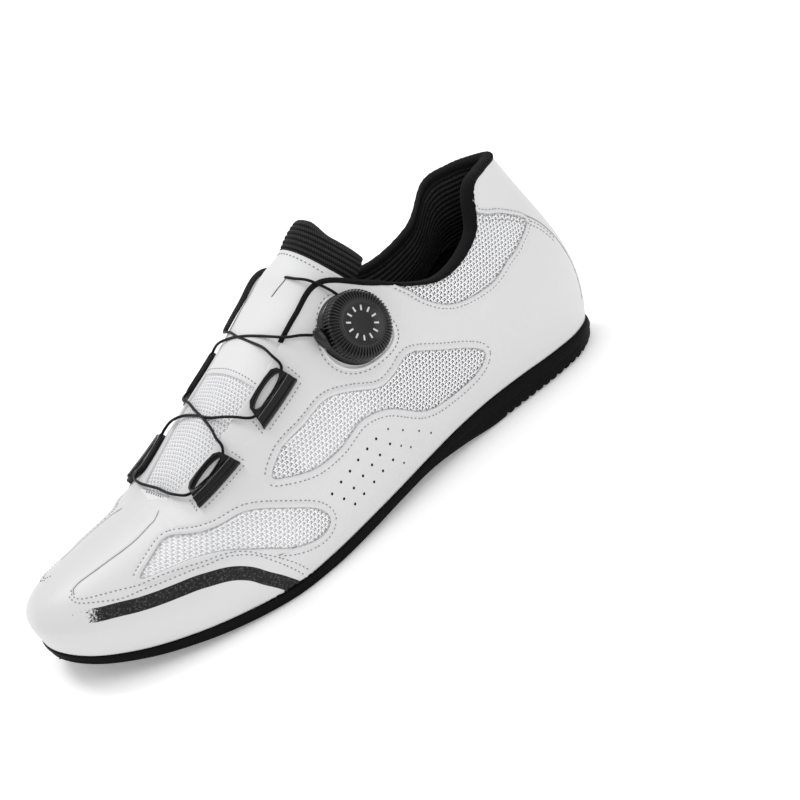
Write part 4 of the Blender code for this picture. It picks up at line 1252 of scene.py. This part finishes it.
# Wire guides: a frame with a long eye on the throat side and a raised bar on the other
guides = {
    "places": {"outerUpper": (9.28, 0.882), "outerLower": (11.17, 0.875), "innerUpper": (9.25, 0.915),
               "innerLower": (11.15, 0.905)},
    "nodes": {"outerUpper": "outer_upper_guide", "outerLower": "outer_lower_guide",
              "innerUpper": "inner_upper_guide", "innerLower": "inner_lower_guide"},
    # outline in mm, x along the shoe and y towards the throat; the eye's half length, half width and y;
    # the y, width and height of the bar, and of each groove
    "outline": ((-10.4, 0.8), (-9.7, 3.6), (-7.6, 5.4), (-3.0, 5.9), (3.0, 5.9), (7.6, 5.4), (9.7, 3.6),
                (10.4, 0.8), (11.6, -4.6), (12.1, -6.1), (0.0, -6.1), (-12.1, -6.1), (-11.6, -4.6)),
    "eye": (8.7, 2.85, 2.0), "height": 2.6 * mm, "bar": (-3.1, 1.15, 1.15), "groove": (-1.25, 0.38, 0.9),
    "edgeGroove": (-4.85, 0.30, 0.5), "columns": 144, "sewn": 1.8 * mm,
}


def rayLengths(outline, centre, turn):
    # how far the outline is from the centre in each direction
    a = np.array(outline, float) - centre
    b = np.roll(a, -1, axis=0)
    way = np.stack((np.cos(turn), np.sin(turn)), -1)[:, None]
    edge = (b - a)[None]
    cross = way[..., 0] * edge[..., 1] - way[..., 1] * edge[..., 0]
    cross = np.where(np.abs(cross) < 1e-9, 1e-9, cross)
    far = (a[None, :, 0] * edge[..., 1] - a[None, :, 1] * edge[..., 0]) / cross
    place = (a[None, :, 0] * way[..., 1] - a[None, :, 1] * way[..., 0]) / cross
    return np.where((far > 0) & (place >= -1e-6) & (place <= 1 + 1e-6), far, 1e9).min(axis=1)


def guideHeight(y):
    # height of the long bar and the grooves over the guide's flat top, y in mm
    rise = np.zeros_like(y)
    for key, sign in (("bar", 1), ("groove", -1), ("edgeGroove", -1)):
        at, width, size = guides[key]
        rise += sign * size * np.exp(-np.abs((y - at) / width) ** 2.6)
    return rise * mm


def makeGuide(name, ring, up):
    centre = np.array((0.0, guides["eye"][2]))
    corners = np.array(guides["outline"], float) - centre
    turn = np.sort(np.concatenate((np.linspace(-math.pi, math.pi, guides["columns"], endpoint=False),
                                   np.arctan2(corners[:, 1], corners[:, 0]))))
    turn = np.append(turn, turn[0])
    way = np.stack((np.cos(turn), np.sin(turn)), -1)
    rim = way * rayLengths(guides["outline"], centre, turn)[:, None]
    longHalf, wideHalf, _ = guides["eye"]
    lens = 1 / np.sqrt((np.abs(way[:, 0]) / longHalf) ** 2 + (np.abs(way[:, 1]) / wideHalf) ** 2)
    eye = way * lens[:, None]
    high = guides["height"]
    rows = [(rim, -0.4 * mm), (rim, high * 0.72), (rim * 0.985, high * 0.90), (rim * 0.955, high)]
    for share in np.linspace(0.06, 0.94, 14):
        rows.append((rim * 0.955 * (1 - share) + eye * 1.10 * share, high))
    rows += [(eye * 1.07, high * 0.99), (eye * 1.01, high * 0.88), (eye, high * 0.6), (eye, -0.4 * mm),
             (rim, -0.4 * mm)]
    loop = []
    for shape, level in rows:
        at = shape + centre
        z = level + (guideHeight(at[:, 1]) if level > high * 0.85 else 0 * at[:, 1])
        loop.append(onSkin(ring, up, at[:, 0] * mm, at[:, 1] * mm, z))
    mesh = gridMesh(name, np.array(loop))
    piece(name + "Guide", mesh, plain["guidePlastic"], [guides["nodes"][name]])
    # stitches on the three sides away from the throat
    reachX, low, high = 12.1 * mm + guides["sewn"], -6.1 * mm - guides["sewn"], 3.4 * mm
    for x0, y0, x1, y1 in ((-reachX, low, reachX, low), (-reachX, low, -reachX * 0.9, high),
                           (reachX, low, reachX * 0.9, high)):
        share = np.linspace(0, 1, 60)
        x, y = x0 + (x1 - x0) * share, y0 + (y1 - y0) * share
        out = sideNormal(ring, up)
        points = np.array([onUpper(at, out) for at in onSkin(ring, up, x, y)])
        sewRow(points, sideNormal(ring + 0 * x, up))


for name, (ring, up) in guides["places"].items():
    inner = name.startswith("inner")
    makeGuide(name, ringEnd - ring if inner else ring, up - 0.05 * inner)
print("guides done")

# Dial: ribbed knob on a round seat, with the spout that the wire leaves through
dial = {
    "place": (7.15, 0.715), "radius": 14.6 * mm, "baseHeight": 3.4 * mm, "knobHeight": 6.8 * mm,
    "ribs": 60, "ribDepth": 1.0 * mm, "columns": 480, "bead": 0.8 * mm, "beadAt": 1.1 * mm,
    "sewnAt": 2.6 * mm, "stitches": 46, "ticks": 12, "tickSize": (2.2 * mm, 0.75 * mm, 0.12 * mm),
    "spout": math.radians(12), "spoutSize": (5.4 * mm, 3.0 * mm, 2.7 * mm),
}


def dialFrame():
    ring, up = dial["place"]
    return frameAt(side(ring, up), side(ring + 0.02, up) - side(ring - 0.02, up), sideNormal(ring, up))


def turned(profile, frame):
    # a round solid from (radius, height, depth of the ribs) rows
    turn = np.linspace(0, math.tau, dial["columns"] + 1)
    rows = []
    for radius, height, rough in profile:
        wave = 0.5 + 0.5 * np.cos(turn * dial["ribs"])
        wave = ease(wave * 1.6 - 0.3)
        r = radius - rough * (1 - wave) * (0.8 if height < 7.5 * mm else 0.0)
        z = height - rough * (1 - wave)
        local = np.stack((r * np.cos(turn), r * np.sin(turn), z + 0 * turn), -1)
        rows.append(local @ frame[:3, :3].T + frame[:3, 3])
    return np.array(rows)


def flatFrame(x, y, at):
    # a frame turned in the dial's plane so that its first axis is (x, y)
    local = np.eye(4)
    local[:2, :2] = (x, -y), (y, x)
    local[:3, 3] = at
    return local


def dialCircle(radius, count, lift):
    # places on the skin in a circle round the dial
    turn = np.linspace(0, math.tau, count, endpoint=False)
    return onSkin(*dial["place"], radius * np.cos(turn), radius * np.sin(turn), lift + 0 * turn)


def makeDial():
    frame = dialFrame()
    r, low, high = dial["radius"], dial["baseHeight"], dial["baseHeight"] + dial["knobHeight"]
    seat = ((0.0, low, 0), (r * 0.93, low, 0), (r * 0.975, low - 0.3 * mm, 0), (r, low - 0.9 * mm, 0),
            (r, 0.4 * mm, 0), (r * 1.02, 0.0, 0), (r * 1.02, -1.0 * mm, 0))
    plastic = plain["dialPlastic"]
    piece("dialSeat", gridMesh("seat", turned(seat, frame)), plastic, ["dial_base"])
    rib = dial["ribDepth"]
    knob = [(0.0, low + 0.3 * mm, 0), (r * 0.95, low + 0.3 * mm, 0), (r * 0.985, low + 0.7 * mm, rib * 0.5),
            (r * 0.995, low + 1.5 * mm, rib), (r * 0.985, high - 3.0 * mm, rib),
            (r * 0.95, high - 1.7 * mm, rib), (r * 0.89, high - 0.9 * mm, rib),
            (r * 0.80, high - 0.45 * mm, rib * 0.9), (r * 0.71, high - 0.2 * mm, rib * 0.6),
            (r * 0.655, high - 0.15 * mm, 0), (r * 0.63, high - 0.1 * mm, 0), (r * 0.60, high - 0.35 * mm, 0),
            (r * 0.57, high - 0.55 * mm, 0), (r * 0.30, high - 0.45 * mm, 0), (0.0, high - 0.4 * mm, 0)]
    piece("dialKnob", gridMesh("knob", turned(knob, frame)), plastic, ["dial_knob"])
    # plain ticks round the flat middle
    tick = templateMesh(bmesh.ops.create_cube, dial["tickSize"], size=1.0)
    ticks = []
    for k in range(dial["ticks"]):
        cosine, sine = math.cos(math.tau * k / dial["ticks"]), math.sin(math.tau * k / dial["ticks"])
        at = (r * 0.42 * cosine, r * 0.42 * sine, high - 0.46 * mm)
        ticks.append(frame @ flatFrame(cosine, sine, at))
    piece("dialMarks", joinedCopies("dialMarks", tick, ticks), plain["dialMarks"], weld=0)
    # raised white ring sewn round the seat
    bead = dialCircle(r + dial["beadAt"], 120, 0.1 * mm)
    piece("dialBead", tubeMesh("bead", bead, dial["bead"], 3, cyclic=True), plain["whiteTrim"])
    points = dialCircle(r + dial["sewnAt"], dial["stitches"], 0.05 * mm)
    for k, at in enumerate(points):
        forward = points[(k + 1) % len(points)] - points[k - 1]
        stitchPlaces.append(frameAt(at, forward, frame[:3, 2]))
    roundSides = {"u_segments": 24, "v_segments": 14, "radius": 1.0}
    spout = templateMesh(bmesh.ops.create_uvsphere, dial["spoutSize"], **roundSides)
    cosine, sine = math.cos(dial["spout"]), math.sin(dial["spout"])
    local = flatFrame(-sine, cosine, (r * 1.02 * cosine, r * 1.02 * -sine, 2.2 * mm))
    piece("dialSpout", joinedCopies("spout", spout, [frame @ local]), plastic, weld=0)


makeDial()
print("dial done")

# Leather patch over the foot of the throat
patch = {"from": 12.20, "to": 12.99, "over": 0.035, "lift": 0.28 * mm, "thick": 1.6 * mm, "bow": 0.22}


def makePatch():
    shares = np.concatenate((np.linspace(-patch["over"], 0, 6)[:-1], np.linspace(0, 1, 51),
                             1 + np.linspace(0, patch["over"], 6)[1:]))
    bow = patch["bow"] * (1 - (2 * np.clip(shares, 0, 1) - 1) ** 2)
    face = []
    for step in np.linspace(0, 1, 31):
        row = []
        for share, bend in zip(shares, bow):
            ring = patch["from"] + bend * (1 - step) + (patch["to"] - patch["from"]) * step
            left, right = skin(ring, 1.0) - topLine(ring), skin(ringEnd - ring, 1.0) - topLine(ringEnd - ring)
            across = min(max(share, 0), 1)
            at = throat(ring, across) + left * (1 - across) + right * across
            if share < 0:
                at = skin(ring, 1 + share * (1.2 - step))
            if share > 1:
                at = skin(ringEnd - ring, 1 - (share - 1) * (1.2 - step))
            row.append(at)
        face.append(row)
    face = np.array(face)
    normal = gridNormals(face)
    normal *= np.sign(normal[..., 2:])
    count = np.arange(len(shares))
    rim = np.minimum(count, count[::-1])[None, :] / 4 * np.ones((31, 1))
    rim = np.minimum(rim, np.arange(31)[::-1, None] / 3)
    face = face + normal * (patch["lift"] - (1 - ease(rim)) * 0.55 * mm)[..., None]
    uv = np.stack((face[..., 0], reachAlong(face)), -1) * 10
    values = {"meshEdge": np.full(face.shape[:2], leatherEdge)}
    piece("throatPatch", slabMeshes(face, face - normal * patch["thick"], uv, values), tongueMaterial)
    for row in (3, 7):
        sewRow(face[row, 5:-5] + normal[row, 5:-5] * 0.02 * mm, normal[row, 5:-5])


makePatch()

# Piping along the front of the outer quarter
piping = {"from": 5.9, "to": 8.50, "radius": 1.4 * mm, "inset": 0.6 * mm}


def makePiping():
    ring = np.linspace(piping["from"], piping["to"], 60)
    top, out = side(ring, 1), sideNormal(ring, 1)
    line = top - out * piping["inset"] + unit(top - side(ring, 0.98)) * piping["inset"]
    piece("quarterPiping", tubeMesh("piping", line, piping["radius"], 4), knitted["pipingKnit"])


makePiping()

# Strap guide on the inner side
strap = {"place": (7.62, 0.985), "length": 33 * mm, "width": 5.6 * mm, "height": 2.1 * mm}


def makeStrap():
    ring, up = ringEnd - strap["place"][0], strap["place"][1]
    turn = np.linspace(0, math.tau, 25)
    x = np.linspace(-0.5, 0.5, 61) * strap["length"]
    taper = np.clip((0.5 - np.abs(x / strap["length"])) / 0.04, 0, 1) ** 0.5
    turns, xs = np.meshgrid(turn, x, indexing="ij")
    y = np.sign(np.cos(turns)) * np.abs(np.cos(turns)) ** 0.6 * strap["width"] / 2 * taper
    z = 0.3 * mm + strap["height"] / 2 * (1 + np.sign(np.sin(turns)) * np.abs(np.sin(turns)) ** 0.7 * taper)
    loop = onSkin(ring, up, xs, y, z)
    uv = np.stack((xs, turns * 2 * mm), -1) * 10
    piece("innerStrap", gridMesh("strap", loop, uv), knitted["cuffKnit"], ["inner_strap_guide"])


makeStrap()
print("trim done")

# Wire: knots are (place along the ring, share across the throat, lift in mm). The runs are the solids'
# runs, carried on behind the guides and into the dial and the slit.
wireRadius = 0.6 * mm
wires = {
    "wireTop": ("wire_top", (
        ((7.00, -0.16, 4.6), (7.00, -0.10, 3.2), (7.06, -0.03, 1.9), (7.16, 0.08, 0.8), (7.30, 0.22, -0.9),
         (7.36, 0.32, -1.7), (7.38, 0.35, -3.2)),)),
    "wireUpperCross": ("wire_upper_cross", (
        ((8.45, 1.06, 1.6), (8.55, 0.95, 0.9), (8.60, 0.84, -0.2), (8.70, 0.66, -0.9), (8.75, 0.40, -1.0),
         (8.74, 0.16, 0.2), (8.76, 0.00, 1.7), (8.78, -0.08, 1.8), (8.95, -0.11, 1.3), (9.2, -0.12, 1.1),
         (9.38, -0.12, 1.1)),
        ((7.95, -0.17, 2.4), (8.16, -0.10, 2.0), (8.36, -0.03, 1.9), (8.50, 0.10, 0.8), (8.60, 0.28, -0.7),
         (8.68, 0.50, -1.0), (8.72, 0.76, -0.4), (8.76, 0.96, 1.4), (8.80, 1.07, 1.9), (9.0, 1.10, 1.2),
         (9.25, 1.11, 1.1)))),
    "wireLowerCross": ("wire_lower_cross", (
        ((9.38, -0.12, 1.1), (9.55, -0.12, 1.1), (9.74, -0.12, 1.6), (9.86, -0.09, 1.9), (9.98, -0.02, 1.8),
         (10.10, 0.10, 0.8), (10.25, 0.31, -0.8), (10.30, 0.56, -1.0), (10.33, 0.80, 0.0), (10.44, 0.97, 1.7),
         (10.60, 1.06, 1.9), (10.9, 1.10, 1.2), (11.15, 1.11, 1.1)),
        ((11.18, -0.12, 1.1), (10.95, -0.11, 1.1), (10.72, -0.10, 1.5), (10.58, -0.06, 1.9),
         (10.53, 0.02, 1.6), (10.44, 0.16, 0.4), (10.31, 0.42, -0.9), (10.18, 0.66, -0.8), (10.02, 0.86, 0.4),
         (9.96, 0.98, 1.7), (9.80, 1.07, 1.9), (9.5, 1.10, 1.2), (9.25, 1.11, 1.1)))),
    "wireBottom": ("wire_bottom", (
        ((11.18, -0.12, 1.1), (11.4, -0.11, 1.1), (11.62, -0.11, 1.6), (11.80, -0.09, 1.9),
         (12.00, -0.01, 1.8), (12.08, 0.15, 0.8), (12.12, 0.50, 0.2), (12.08, 0.85, 0.8), (12.00, 1.01, 1.8),
         (11.80, 1.09, 1.9), (11.5, 1.11, 1.2), (11.15, 1.11, 1.1)),)),
}


def lifted(ring, across, lift):
    forward = overThroat(ring + 0.02, across) - overThroat(ring - 0.02, across)
    aside = overThroat(ring, across + 0.01) - overThroat(ring, across - 0.01)
    out = unit(np.cross(forward, aside))
    return overThroat(ring, across) + out * np.sign(out[2]) * lift * mm


for name, (node, runs) in wires.items():
    meshes = []
    for run in runs:
        line = smoothRun([lifted(*knot) for knot in run], 70)
        meshes.append(tubeMesh(name, line, wireRadius, 3))
    piece(name, meshes, plain["wireCoat"], [node], weld=1e-6)
print("wire done")

# the stitches' dark grey is painted shade of their needle holes
threads = joinedCopies("threads", threadShape, stitchPlaces)
piece("threads", threads, plain["threadAndHoleShade"], weld=0, outward=False)

# Floor, light and camera
stageLook = {"floor": 0.97, "floorGlow": 0.22, "sky": 0.82}
floorMesh = templateMesh(bmesh.ops.create_grid, (1, 1, 1), x_segments=1, y_segments=1, size=8.0)
floor = addObject("floor", floorMesh)
floorMaterial, _, floorShader = startMaterial("paleFloor", 0.85)
floorShader["Base Color"].default_value = grey(stageLook["floor"])
floorShader["Emission Color"].default_value = grey(1.0)
floorShader["Emission Strength"].default_value = stageLook["floorGlow"]
floor.data.materials.append(floorMaterial)

world = bpy.data.worlds.new("studio")
bpy.context.scene.world = world
world.use_nodes = True
world.node_tree.nodes["Background"].inputs["Color"].default_value = grey(1.0)
world.node_tree.nodes["Background"].inputs["Strength"].default_value = stageLook["sky"]

photoView = {
    "azimuth": math.radians(65.3), "elevation": math.radians(22.16), "roll": math.radians(-25.52),
    "distance": 0.842, "lens": 92.07, "target": (0.0037, -0.0015, 0.045), "pan": (0.0467, 0.00264),
}


def lookAxes(azimuth, elevation, roll):
    level = math.cos(elevation)
    back = Vector((math.sin(azimuth) * level, -math.cos(azimuth) * level, math.sin(elevation)))
    right = Vector((math.cos(azimuth), math.sin(azimuth), 0))
    up = back.cross(right)
    return math.cos(roll) * right + math.sin(roll) * up, -math.sin(roll) * right + math.cos(roll) * up, back


def addLight(name, azimuth, elevation, distance, size, power):
    right, up, back = lookAxes(math.radians(azimuth), math.radians(elevation), 0)
    data = bpy.data.lights.new(name, "AREA")
    data.size = size
    data.energy = power
    made = addObject(name, data)
    made.matrix_world = Matrix((right, up, back)).transposed().to_4x4()
    made.location = Vector(photoView["target"]) + back * distance


addLight("keySoftbox", -84, 54, 3.2, 1.1, 36)
addLight("fillSoftbox", 98, 36, 3.0, 2.4, 18.5)
right, up, back = lookAxes(photoView["azimuth"], photoView["elevation"], photoView["roll"])
cameraData = bpy.data.cameras.new("photoCamera")
cameraData.lens = photoView["lens"]
cameraData.sensor_width = 36
camera = addObject("photoCamera", cameraData)
place = Vector(photoView["target"]) + back * photoView["distance"]
back = (back - photoView["pan"][0] * right - photoView["pan"][1] * up).normalized()
right = up.cross(back).normalized()
up = back.cross(right)
camera.matrix_world = Matrix((right, up, back)).transposed().to_4x4()
camera.location = place
bpy.context.scene.camera = camera
bpy.context.scene.view_settings.view_transform = "Standard"
print("stage done")
